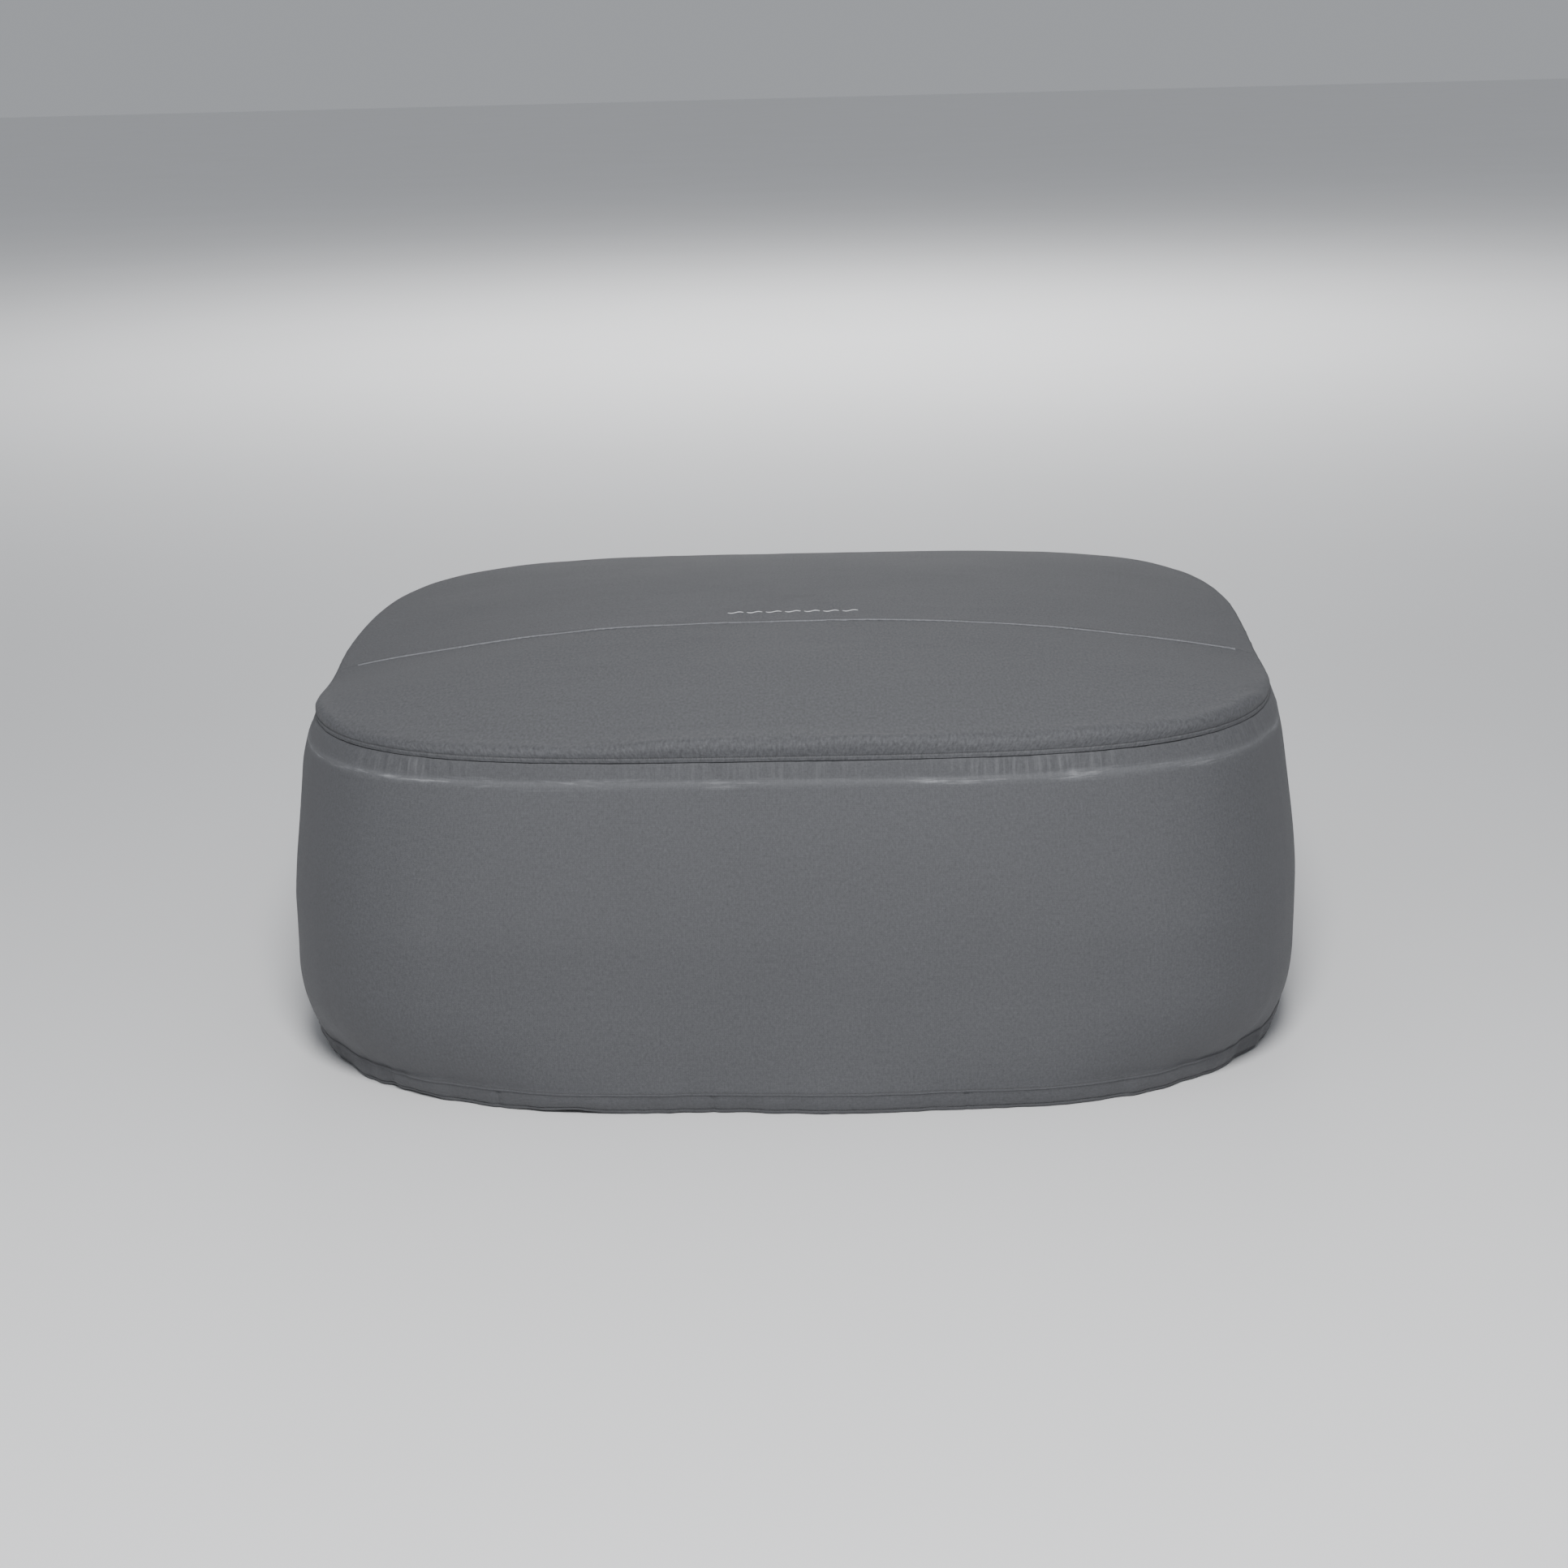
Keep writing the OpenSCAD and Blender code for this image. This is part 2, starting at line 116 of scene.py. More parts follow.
# %% [markdown]
# ## Shader maths
# A small class wraps a socket, so a material reads as arithmetic. Any node comes from
# its one method `node`: the type, then the settings, then the sockets' values or links.

# %% Wire: shader maths as Python
class Wire:
    def __init__(self, tree, socket=None):
        self.tree = tree
        self.socket = socket

    def node(self, kind, settings=None, inputs=None, output=0):
        made = self.tree.nodes.new("ShaderNode" + kind)
        for name, value in (settings or {}).items():
            setattr(made, name, value)
        for name, value in (inputs or {}).items():
            if isinstance(value, Wire):
                self.tree.links.new(value.socket, made.inputs[name])
            else:
                made.inputs[name].default_value = value
        return Wire(self.tree, made.outputs[output])

    def math(self, operation, a, b=0.0):
        return self.node("Math", {"operation": operation}, {0: a, 1: b})

    def __add__(self, other):
        return self.math("ADD", self, other)

    __radd__ = __add__

    def __mul__(self, other):
        return self.math("MULTIPLY", self, other)

    __rmul__ = __mul__

    def __sub__(self, other):
        return self.math("SUBTRACT", self, other)

    def __rsub__(self, other):
        return self.math("SUBTRACT", other, self)

    def power(self, exponent):
        return self.math("POWER", self, exponent)

    def wave(self):
        return self.math("SINE", self)

    def between(self, low, high):
        return self.node(
            "MapRange",
            {"interpolation_type": "SMOOTHSTEP"},
            {"Value": self, "From Min": low, "From Max": high, "To Min": 0.0, "To Max": 1.0},
        )

    def scaled(self, scale):
        return self.node("VectorMath", {"operation": "MULTIPLY"}, {0: self, 1: scale})

    def noise(self, scale, detail=2.0, roughness=0.5, distortion=0.0):
        return self.node(
            "TexNoise",
            None,
            {
                "Vector": self,
                "Scale": scale,
                "Detail": detail,
                "Roughness": roughness,
                "Distortion": distortion,
            },
        )

    def mixed(self, factor, colour):
        """This colour turning into the other one by factor."""
        return self.node("Mix", {"data_type": "RGBA"}, {0: factor, 6: self, 7: colour}, output=2)


def colour_of(wire, rgb):
    """A colour as a wire, so that it can be mixed."""
    plain = (*rgb, 1.0)
    return wire.node("Mix", {"data_type": "RGBA"}, {0: 0.0, 6: plain, 7: plain}, output=2)


# %% [markdown]
# ## New materials
# Every material starts as a Principled shader. What is the same all over sits on the
# shader's own sockets, and what varies is wired to base colour, roughness and bump.

# %% new_material
def new_material(name, **constants):
    material = bpy.data.materials.new(name)
    material.use_nodes = True
    shader = material.node_tree.nodes["Principled BSDF"]
    for socket, value in constants.items():
        shader.inputs[socket.replace("_", " ")].default_value = value
    return material, shader, Wire(material.node_tree)


def wire_up(shader, wire, colour=None, roughness=None, height=None, depth=0.001):
    tree = wire.tree
    if colour is not None:
        tree.links.new(colour.socket, shader.inputs["Base Color"])
    if roughness is not None:
        tree.links.new(roughness.socket, shader.inputs["Roughness"])
    if height is not None:
        bump = wire.node("Bump", None, {"Strength": 1.0, "Distance": depth, "Height": height})
        tree.links.new(bump.socket, shader.inputs["Normal"])


# %% [markdown]
# ## Coated fabric
# The cover is polyester cloth with a coating: a blue-grey with a soft sheen. Up close it
# has a plain weave and a faint grid of thicker threads, and from a few metres it looks
# slightly mottled. Each point keeps its place on the flat cloth, in metres, so the weave
# has one scale on every panel. Pale wear marks sit where the cloth bends over the tub's rim,
# with a painted highlight along the rim, and painted highlights streak the gathers under
# the top seam. The top has a coarser grain, and its cross seam is painted paler as a painted
# highlight along its lapped edge.

# %% Coated fabric
turn = 2 * math.pi
weave_pitch = 0.0014
grid_pitch = 0.0046
weave_depth = 0.00022


def cloth_coordinates(wire):
    """The place of a point on the flat cloth: a vector, and its two parts."""
    cloth = wire.node("Attribute", {"attribute_name": "cloth"}, output=1)
    along, across = (wire.node("SeparateXYZ", None, {0: cloth}, output=axis) for axis in (0, 1))
    return cloth, along, across


def mark_on(wire, name):
    return wire.node("Attribute", {"attribute_name": name}, output=2)


def ribs(distance, pitch):
    return (distance * (turn / pitch)).wave()


def darkened(wire, rgb, shade, full):
    """The colour where shade is 1, darker below and lighter up to shade 1 / full."""
    return colour_of(wire, [0.0] * 3).mixed(shade * full, (*[c / full for c in rgb], 1.0))


def fabric_maths(wire, rgb, grain):
    cloth, along, across = cloth_coordinates(wire)
    weave = ribs(along, weave_pitch) * ribs(across, weave_pitch)
    grid = ribs(along, grid_pitch).power(2.0) + ribs(across, grid_pitch).power(2.0)
    mottle = cloth.noise(3.2, 4.0, 0.55)
    speckle = cloth.noise(260.0, 3.0, 0.7)
    streak = cloth.scaled((55.0, 420.0, 1.0)).noise(1.0, 2.0)
    pebble = cloth.scaled((220.0, 110.0, 1.0)).noise(1.0, 2.0, 0.6)
    slub = cloth.noise(620.0, 1.0)
    shade = 0.51 - 0.5 * grain + 0.16 * mottle + 0.68 * speckle
    shade = shade + grain * pebble + 0.12 * streak + 0.055 * grid
    height = 0.55 * weave + 0.35 * speckle + 0.25 * grid + 0.3 * slub
    return darkened(wire, rgb, shade, 0.72), mottle, height


def with_wear_and_painted_highlights(wire, tint):
    """Pale wear patches and a painted highlight along the crease, and painted highlights on the gathers."""
    cloth, _, _ = cloth_coordinates(wire)
    rim_wear_and_highlight, gathered = mark_on(wire, "wear_and_rim_highlight"), mark_on(wire, "gather")
    patches = cloth.scaled((8.0, 95.0, 1.0)).noise(1.0, 4.0, 0.65).between(0.52, 0.74)
    fine = cloth.noise(300.0, 3.0, 0.7)
    # Patches of pale wear, plus a thin even pale line that is a painted highlight along the rim.
    mask = rim_wear_and_highlight * patches * (0.30 + 0.90 * fine) + 0.12 * rim_wear_and_highlight
    tint = tint.mixed(mask * 0.70, (0.40, 0.41, 0.43, 1.0))
    # Pale streaks on the gathers are painted highlights, where the puckers would catch the light.
    ridges = cloth.scaled((150.0, 9.0, 1.0)).noise(1.0, 2.0, 0.6).between(0.42, 0.72)
    return tint.mixed(gathered * ridges * 0.15, (0.34, 0.345, 0.36, 1.0))


def coated_fabric(name, rgb, grain=0.45, wear_and_painted_highlights=False):
    material, shader, wire = new_material(
        name, Sheen_Weight=0.03, Sheen_Roughness=0.40, Specular_IOR_Level=0.22
    )
    tint, mottle, height = fabric_maths(wire, rgb, grain)
    if wear_and_painted_highlights:
        tint = with_wear_and_painted_highlights(wire, tint)
    wire_up(shader, wire, tint, 0.50 + 0.14 * mottle, height, weave_depth)
    return material


fabric_rgb = (0.083, 0.0845, 0.0905)
skin_material = coated_fabric("coated_fabric", fabric_rgb, wear_and_painted_highlights=True)
top_material = coated_fabric("top_fabric", fabric_rgb, grain=1.25)
# The cross seam's cloth is 2.2 times paler: a painted highlight along its lapped edge.
seam_highlight_material = coated_fabric("seam_painted_highlight_fabric", [c * 2.2 for c in fabric_rgb], grain=1.0)
hem_material = coated_fabric("hem_fabric", [c * 0.97 for c in fabric_rgb])
print("fabric colour", fabric_rgb)

# %% [markdown]
# ## The other finishes
# Thread is a little paler than the cloth. Tapes are ribbed along their length. The foil
# lining is crinkled film, the foam is white with small cells, and the elastic is knitted.
# The floor is matt and almost white, and the printed mark is a pale, slightly uneven ink.

# %% Tape, thread and elastic
def ribbed_tape(name, rgb, pitch, roughness=0.75):
    material, shader, wire = new_material(name, Roughness=roughness, Sheen_Weight=0.15)
    cloth, along, across = cloth_coordinates(wire)
    knit = ribs(along, pitch) * ribs(across, pitch / 1.7)
    fuzz = cloth.noise(900.0, 2.0, 0.6)
    tint = darkened(wire, rgb, 0.75 + 0.2 * knit + 0.35 * fuzz, 0.6)
    wire_up(shader, wire, tint, None, knit + 0.6 * fuzz, 0.0004)
    return material


tape_material = ribbed_tape("edge_tape", (0.045, 0.046, 0.050), 0.0016)
elastic_material = ribbed_tape("knitted_elastic", (0.62, 0.62, 0.60), 0.0022)
label_material = ribbed_tape("satin_label", (0.80, 0.80, 0.79), 0.0008, 0.35)
thread_material = ribbed_tape("sewing_thread", (0.115, 0.117, 0.124), 0.0007)
print("tapes, thread and elastic:", len(bpy.data.materials))

# %% Hook and loop
def furry_tape(name, rgb, scale):
    material, shader, wire = new_material(name, Roughness=0.9, Sheen_Weight=0.4)
    place = wire.node("TexCoord", output=3)
    tufts = place.node("TexVoronoi", None, {"Vector": place, "Scale": scale})
    fuzz = place.noise(scale * 1.7, 2.0)
    tint = darkened(wire, rgb, 0.5 + 0.6 * fuzz, 0.6)
    wire_up(shader, wire, tint, None, 1 - tufts + 0.4 * fuzz, 0.0007)
    return material


loop_material = furry_tape("loop_tape", (0.035, 0.035, 0.038), 700.0)
hook_material = furry_tape("hook_tape", (0.028, 0.028, 0.030), 480.0)
print("with hook and loop:", len(bpy.data.materials))

# %% Foil and foam
def crinkled_foil():
    material, shader, wire = new_material("foil_lining", Metallic=0.85)
    place = wire.node("TexCoord", output=3)
    facets = place.node(
        "TexVoronoi", {"feature": "SMOOTH_F1"}, {"Vector": place, "Scale": 38.0, "Smoothness": 0.4}
    )
    creases = place.noise(24.0, 5.0, 0.65, 1.2)
    tint = colour_of(wire, (0.60, 0.61, 0.63)).mixed(creases.between(0.3, 0.8), (0.82, 0.83, 0.84, 1))
    wire_up(shader, wire, tint, 0.26 + 0.2 * creases, creases + 0.5 * facets, 0.004)
    return material


def closed_cell_foam():
    material, shader, wire = new_material("closed_cell_foam", Roughness=0.7)
    place = wire.node("TexCoord", output=3)
    cells = place.node("TexVoronoi", None, {"Vector": place, "Scale": 320.0})
    cloudy = place.noise(9.0, 3.0)
    tint = colour_of(wire, (0.74, 0.74, 0.72)).mixed(cells * 0.8 + 0.3 * cloudy, (0.86, 0.86, 0.85, 1))
    wire_up(shader, wire, tint, None, cells, 0.0006)
    return material


foil_material = crinkled_foil()
foam_material = closed_cell_foam()
print("with foil and foam:", len(bpy.data.materials))

# %% Floor and print
floor_material, floor_shader, floor_wire = new_material("floor_paint", Roughness=0.6)
floor_place = floor_wire.node("TexCoord", output=3)
floor_cloud = floor_place.noise(0.7, 3.0)
floor_tint = colour_of(floor_wire, (0.83, 0.83, 0.83)).mixed(floor_cloud, (0.87, 0.87, 0.88, 1))
wire_up(floor_shader, floor_wire, floor_tint)
floor_mesh.materials.append(floor_material)

print_material, print_shader, print_wire = new_material("screen_print", Roughness=0.45)
print_place = print_wire.node("TexCoord", output=3)
print_grain = print_place.noise(420.0, 3.0, 0.7)
print_tint = colour_of(print_wire, (0.80, 0.81, 0.83)).mixed(print_grain, (0.92, 0.92, 0.94, 1))
wire_up(print_shader, print_wire, print_tint, None, print_grain, 0.0002)
print("materials:", len(bpy.data.materials))

# %% [markdown]
# ## The form
# In plan the cover is a superellipse, a circle on its way to a square. Its wall bulges
# over the elastic at the hem, stands upright at mid height and leans in towards the top
# seam. The top stands up from the seam in a short band, rolls over a soft shoulder, and
# then domes slowly to the crown.

# %% Sizes from the frame
seam_z = 0.002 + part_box("top_panel_rear")[0].z
crown_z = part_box("top_panel_rear")[1].z
hem_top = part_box("hem_casing")[1].z
seam_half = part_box("top_panel_rear")[1].x
mid_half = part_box("skirt_foam_right")[1].x + 0.003
base_tuck = 0.012
hem_half = mid_half + 0.006
bulge_z, tuck_z, lean_z = 0.046, 0.200, 0.300
hem_square, mid_square, seam_square, crown_square = 3.4, 4.7, 3.7, 2.05
print("seam at", round(seam_z, 4), "crown at", round(crown_z, 4))
print("half widths", round(seam_half, 4), round(mid_half, 4))


# %% Plan and profile of the wall
def mix(a, b, t):
    return a + (b - a) * t


def smooth(t):
    t = np.clip(t, 0, 1)
    return t * t * (3 - 2 * t)


def hump(value, middle, width):
    return np.exp(-(((value - middle) / width) ** 2))


def plan_reach(direction, square):
    across = np.abs(np.cos(direction)) ** square + np.abs(np.sin(direction)) ** square
    return across ** (-1 / square)


def wall_half(z):
    hem = hem_half - base_tuck * (1 - np.sin(np.clip(z / bulge_z, 0, 1) * math.pi / 2))
    low = mix(hem_half, mid_half, np.clip((z - bulge_z) / (tuck_z - bulge_z), 0, 1))
    lean = np.clip((z - lean_z) / (seam_z - lean_z), 0, 1.2) ** 1.4
    return np.where(z < bulge_z, hem, low) - (mid_half - seam_half) * lean


def wall_square(z):
    rise = np.sin(np.clip((z - bulge_z) / (tuck_z - bulge_z), 0, 1) * math.pi / 2)
    lean = np.clip((z - lean_z) / (seam_z - lean_z), 0, 1)
    return mix(hem_square, mid_square, rise) - (mid_square - seam_square) * lean


# %% [markdown]
# ## Relief
# Real cloth is never as smooth as its pattern. A lattice of seeded random numbers,
# smoothed between its points, gives slow hollows, upright folds and the small puckers
# beside a row of stitches. It is sampled in space, so it runs on across a seam.

# %% Lattice noise
lattice_size = 32
lattice = np.random.default_rng(7).uniform(-1, 1, (lattice_size,) * 3)


def lattice_noise(x, y, z):
    x, y, z = np.broadcast_arrays(x, y, z)
    cells = [np.floor(c).astype(int) for c in (x, y, z)]
    parts = [smooth(c - k) for c, k in zip((x, y, z), cells)]
    total = 0
    for corner in range(8):
        steps = [corner >> axis & 1 for axis in range(3)]
        index = tuple((k + step) % lattice_size for k, step in zip(cells, steps))
        weight = 1
        for step, part in zip(steps, parts):
            weight = weight * (part if step else 1 - part)
        total = total + lattice[index] * weight
    return total


def layered_noise(x, y, z, layers=3):
    total = 0
    for layer in range(layers):
        scale = 2.03**layer
        total = total + lattice_noise(x * scale + 5 * layer, y * scale, z * scale) / scale
    return total


# %% [markdown]
# The skirt hangs from the seam in a band that is drawn in a little, down to a rim. Just
# under the seam it is puckered, under the rim it steps out again, and at the hem broad
# lobes bulge between the places where the elastic pulls hardest.

# %% Relief of the wall
crease_depth = 0.0345
hem_lobes = ((-0.40, 0.15, 0.011), (0.11, 0.14, 0.008), (0.50, 0.14, 0.006))


def corner_share(x, y):
    """0 on the flat sides and 1 at the corners."""
    return smooth((np.minimum(np.abs(x), np.abs(y)) - 0.55) / 0.2)


def edge_slack(x, y):
    """How far the top edge is drawn in at the middle of the sides, where nothing fills it."""
    side = smooth((np.abs(x) - 0.6) / 0.2)
    return side * np.where(x < 0, 0.021 * hump(y, -0.30, 0.22), 0.011 * hump(y, -0.22, 0.26))


def puckered_patches(x, y):
    return smooth(0.45 + 1.2 * lattice_noise(x * 4.5, y * 4.5 + 2, 0.5))


def seam_puckers(x, y, z, below_seam):
    fine = 0.8 * lattice_noise(x * 84, y * 84, z * 7) + 0.8 * lattice_noise(x * 150, y * 150, z * 9)
    fade = smooth(below_seam / 0.006) * hump(below_seam, 0.014, 0.022)
    return 0.0030 * puckered_patches(x, y) * fine * fade


def drawn_in_band(x, y, below_seam):
    """How deep the cloth lies between the seam and the rim, less a rounding at the sides."""
    rim = crease_depth + 0.003 * lattice_noise(x * 5, y * 5, 3.5)
    strength = 0.75 + 0.5 * lattice_noise(x * 3.1 + 7, y * 3.1, 0.0)
    over = smooth((below_seam - rim + 0.0015) / 0.0026)
    share = np.clip(below_seam / rim, 0, 1)
    tuck = mix(0.0034 * share, 0.0013 * np.exp(-(below_seam - rim) / 0.03), over)
    rounding = np.where(below_seam < rim, share**0.6, np.exp(-(below_seam - rim) / 0.10))
    side = smooth((np.abs(x) - 0.55) / 0.25)
    return strength * tuck, 0.008 * side * rounding


def wall_relief(x, y, z):
    """How far the cloth of the wall stands out from its plain form."""
    below_seam = seam_z - z
    slow = 0.0030 * layered_noise(x * 2.6, y * 2.6, z * 3.2) * smooth(below_seam / 0.06)
    upright = 0.0011 * layered_noise(x * 11 + 3, y * 11, z * 1.6)
    near_hem = np.exp(-np.clip(z - hem_top, 0, 1) / 0.05)
    lobes = sum(height * hump(x, middle, width) for middle, width, height in hem_lobes)
    lobes = lobes * (y < -0.5) * np.exp(-z / 0.10)
    folds = 0.0026 + 0.0030 * corner_share(x, y)
    folds = folds * near_hem * layered_noise(x * 19, y * 19 + 9, z * 2.5, 2)
    puckers = seam_puckers(x, y, z, below_seam)
    tucked, rounded = drawn_in_band(x, y, below_seam)
    slack = edge_slack(x, y) * smooth(1 - below_seam / 0.10)
    return slow + upright + folds + lobes + puckers - tucked + rounded - slack


def wall_points(direction, z, depth=0.0, relief=1.0):
    """Points of the wall in the given directions and heights, depth under the cloth's face."""
    direction, z = np.broadcast_arrays(direction, np.asarray(z, float))
    reach = plan_reach(direction, wall_square(z))
    half = wall_half(z)
    x, y = half * reach * np.cos(direction), half * reach * np.sin(direction)
    half = half + relief * wall_relief(x, y, z) - depth
    return np.stack([half * reach * np.cos(direction), half * reach * np.sin(direction), z], -1)


# %% [markdown]
# ## Form of the top
# A point of the top is given by how far along the cloth it lies from the seam. First the
# cloth stands up in a band, then it turns through a quarter circle, and then it runs
# inwards over the dome. The band is tallest in front, right of the middle, where the
# padding hangs out over the seam. At the cross seam the rear panel laps over the front
# one. A foam layer is the same form a little deeper down.

# %% Form of the top
crown_rise = crown_z - seam_z
lap_width = 0.0075


def shoulder_radius(band):
    return 0.0015 + 0.45 * band


def band_height(direction):
    reach = seam_half * plan_reach(direction, seam_square)
    x, y = reach * np.cos(direction), reach * np.sin(direction)
    front = smooth((-y - 0.26) / 0.38)
    tall = smooth((x + 0.42) / 0.36) * (1 - 0.6 * smooth((x - 0.5) / 0.25))
    uneven = 0.0032 * (0.3 + front) * lattice_noise(x * 4, y * 4, 0.5)
    return 0.006 + front * (0.0175 + 0.0125 * tall) + uneven


def top_points(along, direction, depth=0.0, relief=1.0):
    """Points of the top, along metres of cloth in from the seam, depth under its face."""
    along, direction = np.broadcast_arrays(along, direction)
    band = band_height(direction)
    radius = shoulder_radius(band)
    upright = band - radius
    phi = np.clip((along - upright) / radius, 0, math.pi / 2)
    past = np.clip(along - upright - radius * math.pi / 2, 0, 2)
    inward = radius * (1 - np.cos(phi)) + past
    scale = 1 - inward / seam_half
    inside = np.clip(scale, 0, 1)
    reach = plan_reach(direction, mix(crown_square, seam_square, inside**1.3))
    x, y = seam_half * scale * reach * np.cos(direction), seam_half * scale * reach * np.sin(direction)
    z = seam_z + np.minimum(along, upright) + radius * np.sin(phi)
    z = z + (crown_rise - band) * (1 - inside**2.1)
    lump = layered_noise(x * 3.1 + 1, y * 3.1, 0.3, 2)
    full = band / 0.030
    overhang = np.clip(along / band, 0, 1) * (1 - smooth((along - band) / (0.9 * band)))
    bulge = (0.0062 + 0.0060 * lump) * overhang * full
    fold = 0.0042 * layered_noise(x * 11, y * 11 + 3, along * 24, 2) * hump(along, 1.1 * band, 0.013) * full
    lap = 0.0010 * (1 - smooth((along - 0.006) / 0.002)) - 0.0009 * hump(along, lap_width, 0.0011)
    pucker = 0.0006 * lattice_noise(x * 70, y * 70, 1.5) * hump(along, 0.004, 0.012)
    settle = smooth(past / 0.05)
    swell = 0.0026 * layered_noise(x * 2.2, y * 2.2, 2.5, 2) * settle
    drag = 0.0007 * layered_noise(x * 6, y * 13, 4.5) * settle
    behind = y - cross_seam_y + 0.5 * seam_width
    lapped = smooth(behind / 0.003) * (1 - smooth((behind - 0.004) / 0.030))
    pull = (0.0011 + 0.0009 * lattice_noise(x * 14, 0.0, 6.5)) * lapped * settle
    slack = edge_slack(x, y) * smooth(1 - past / 0.16)
    out = relief * (bulge + (fold + lap + pucker) * np.cos(phi) - slack) - depth * np.cos(phi)
    up = relief * (swell + drag + pull + fold * np.sin(phi)) - depth * np.sin(phi)
    out = out * np.clip(scale / 0.1, 0, 1)
    half = seam_half * scale + out
    return np.stack([half * reach * np.cos(direction), half * reach * np.sin(direction), z + up], -1)


cross_seam_low, cross_seam_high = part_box("top_cross_seam")
cross_seam_y = (cross_seam_low.y + cross_seam_high.y) / 2
seam_width = cross_seam_high.y - cross_seam_low.y
print("cross seam at", round(cross_seam_y, 4), "width", round(seam_width, 4))


def along_at(x, y):
    """Direction of a point of the plan, and how far along the cloth it lies from the seam."""
    x, y = np.asarray(x, float), np.asarray(y, float)
    scale = np.hypot(x, y) / seam_half
    for _ in range(8):
        square = mix(crown_square, seam_square, np.clip(scale, 0, 1) ** 1.3)
        scale = (np.abs(x) ** square + np.abs(y) ** square) ** (1 / square) / seam_half
    direction = np.arctan2(y, x)
    band = band_height(direction)
    radius = shoulder_radius(band)
    return (1 - scale) * seam_half + band + radius * (math.pi / 2 - 2), direction


def on_top(x, y, lift=0.0):
    """Points on the top over points of the plan, lift above the cloth."""
    along, direction = along_at(x, y)
    return top_points(along, direction, -lift)


# %% [markdown]
# ## From points to pieces
# A piece of cloth on the wall is two grids of points, its face and its back, joined
# round the edge, so every piece is a closed solid with a real thickness. Each point
# keeps its place on the flat cloth for the weave.

# %% Mesh helpers
def new_piece(name, points, faces, cloth, material, sharp_angle=50.0):
    mesh = bpy.data.meshes.new(name)
    mesh.from_pydata(points.tolist(), [], faces)
    place = np.zeros((len(points), 3), np.float32)
    place[:, :2] = cloth
    mesh.attributes.new("cloth", "FLOAT_VECTOR", "POINT").data.foreach_set("vector", place.ravel())
    mesh.polygons.foreach_set("use_smooth", [True] * len(mesh.polygons))
    mesh.set_sharp_from_angle(angle=math.radians(sharp_angle))
    mesh.materials.append(material)
    piece = bpy.data.objects.new(name, mesh)
    bpy.context.scene.collection.objects.link(piece)
    return piece


def grid_faces(rows, columns, start=0, flip=False):
    i, j = np.meshgrid(np.arange(rows - 1), np.arange(columns - 1), indexing="ij")
    a = (start + i * columns + j).ravel()
    quads = np.stack([a, a + 1, a + columns + 1, a + columns], -1)
    return quads[:, ::-1] if flip else quads


def rim_faces(rows, columns, back):
    ring = list(range(columns))
    ring += [i * columns + columns - 1 for i in range(1, rows)]
    ring += [(rows - 1) * columns + j for j in range(columns - 2, -1, -1)]
    ring += [i * columns for i in range(rows - 2, 0, -1)]
    ring = np.array(ring)
    ahead = np.roll(ring, -1)
    return np.stack([ring, ring + back, ahead + back, ahead], -1)


def slab(name, face, back, cloth, material):
    """A closed solid between two grids of points. Seen from its face, rows run up it."""
    rows, columns = face.shape[:2]
    count = rows * columns
    faces = np.concatenate([
        grid_faces(rows, columns),
        grid_faces(rows, columns, count, flip=True),
        rim_faces(rows, columns, count),
    ])
    points = np.concatenate([face.reshape(-1, 3), back.reshape(-1, 3)])
    both = np.concatenate([cloth.reshape(-1, 2)] * 2)
    return new_piece(name, points, faces.tolist(), both, material)


def joined(name, pieces):
    """Several pieces made into one."""
    bm = bmesh.new()
    for piece in pieces:
        bm.from_mesh(piece.data)
    bm.to_mesh(pieces[0].data)
    bm.free()
    for piece in pieces[1:]:
        bpy.data.objects.remove(piece)
    pieces[0].name = name
    return pieces[0]


def told(*pieces):
    """Prints how many faces the pieces have, before any modifier."""
    for piece in pieces:
        print(piece.name + ":", len(piece.data.polygons), "faces")


def stands_for(piece, nodes, body="cover"):
    """Hides the nodes that the piece stands for, and parents the piece to the body it moves with."""
    if nodes:
        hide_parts(*nodes)
    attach(piece, body)
    return piece


def around(middle, half):
    return middle - half, middle + half


def heights_of(node):
    low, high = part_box(node)
    return low.z, high.z


# %% Measures round the plan
rear = math.pi / 2
plan_steps = np.linspace(-turn, 2 * turn, 7201)
plan_ring = wall_points(plan_steps, tuck_z, 0.0, 0.0)
plan_lengths = np.concatenate([[0], np.cumsum(np.linalg.norm(np.diff(plan_ring, axis=0), axis=1))])
plan_lengths = plan_lengths - np.interp(0, plan_steps, plan_lengths)


def length_at(direction):
    """Length round the wall at mid height, from direction 0."""
    return np.interp(direction, plan_steps, plan_lengths)


def directions_between(start, end, spacing):
    """Directions from start to end that lie about spacing apart on the wall."""
    ends = length_at(np.array([start, end]))
    count = max(2, int(math.ceil((ends[1] - ends[0]) / spacing)) + 1)
    return np.interp(np.linspace(ends[0], ends[1], count), plan_lengths, plan_steps)


print("round the wall:", round(float(length_at(turn)), 3), "m")

# %% [markdown]
# ## Strips of wall
# Boards, linings, tapes and the flap's layers are all strips of the wall between two
# directions, two heights and two depths. A helper makes them, and can round their
# edges, which a foam board or a folded tape needs.

# %% Strip of wall
def edge_steps(low, high, spacing, rounding):
    near = rounding * np.array([0.0, 0.12, 0.4, 1.0]) if rounding else np.array([0.0])
    inner = np.arange(low + near[-1] + spacing * 0.6, high - near[-1] - spacing * 0.5, spacing)
    return np.concatenate([low + near, inner, (high - near)[::-1]])


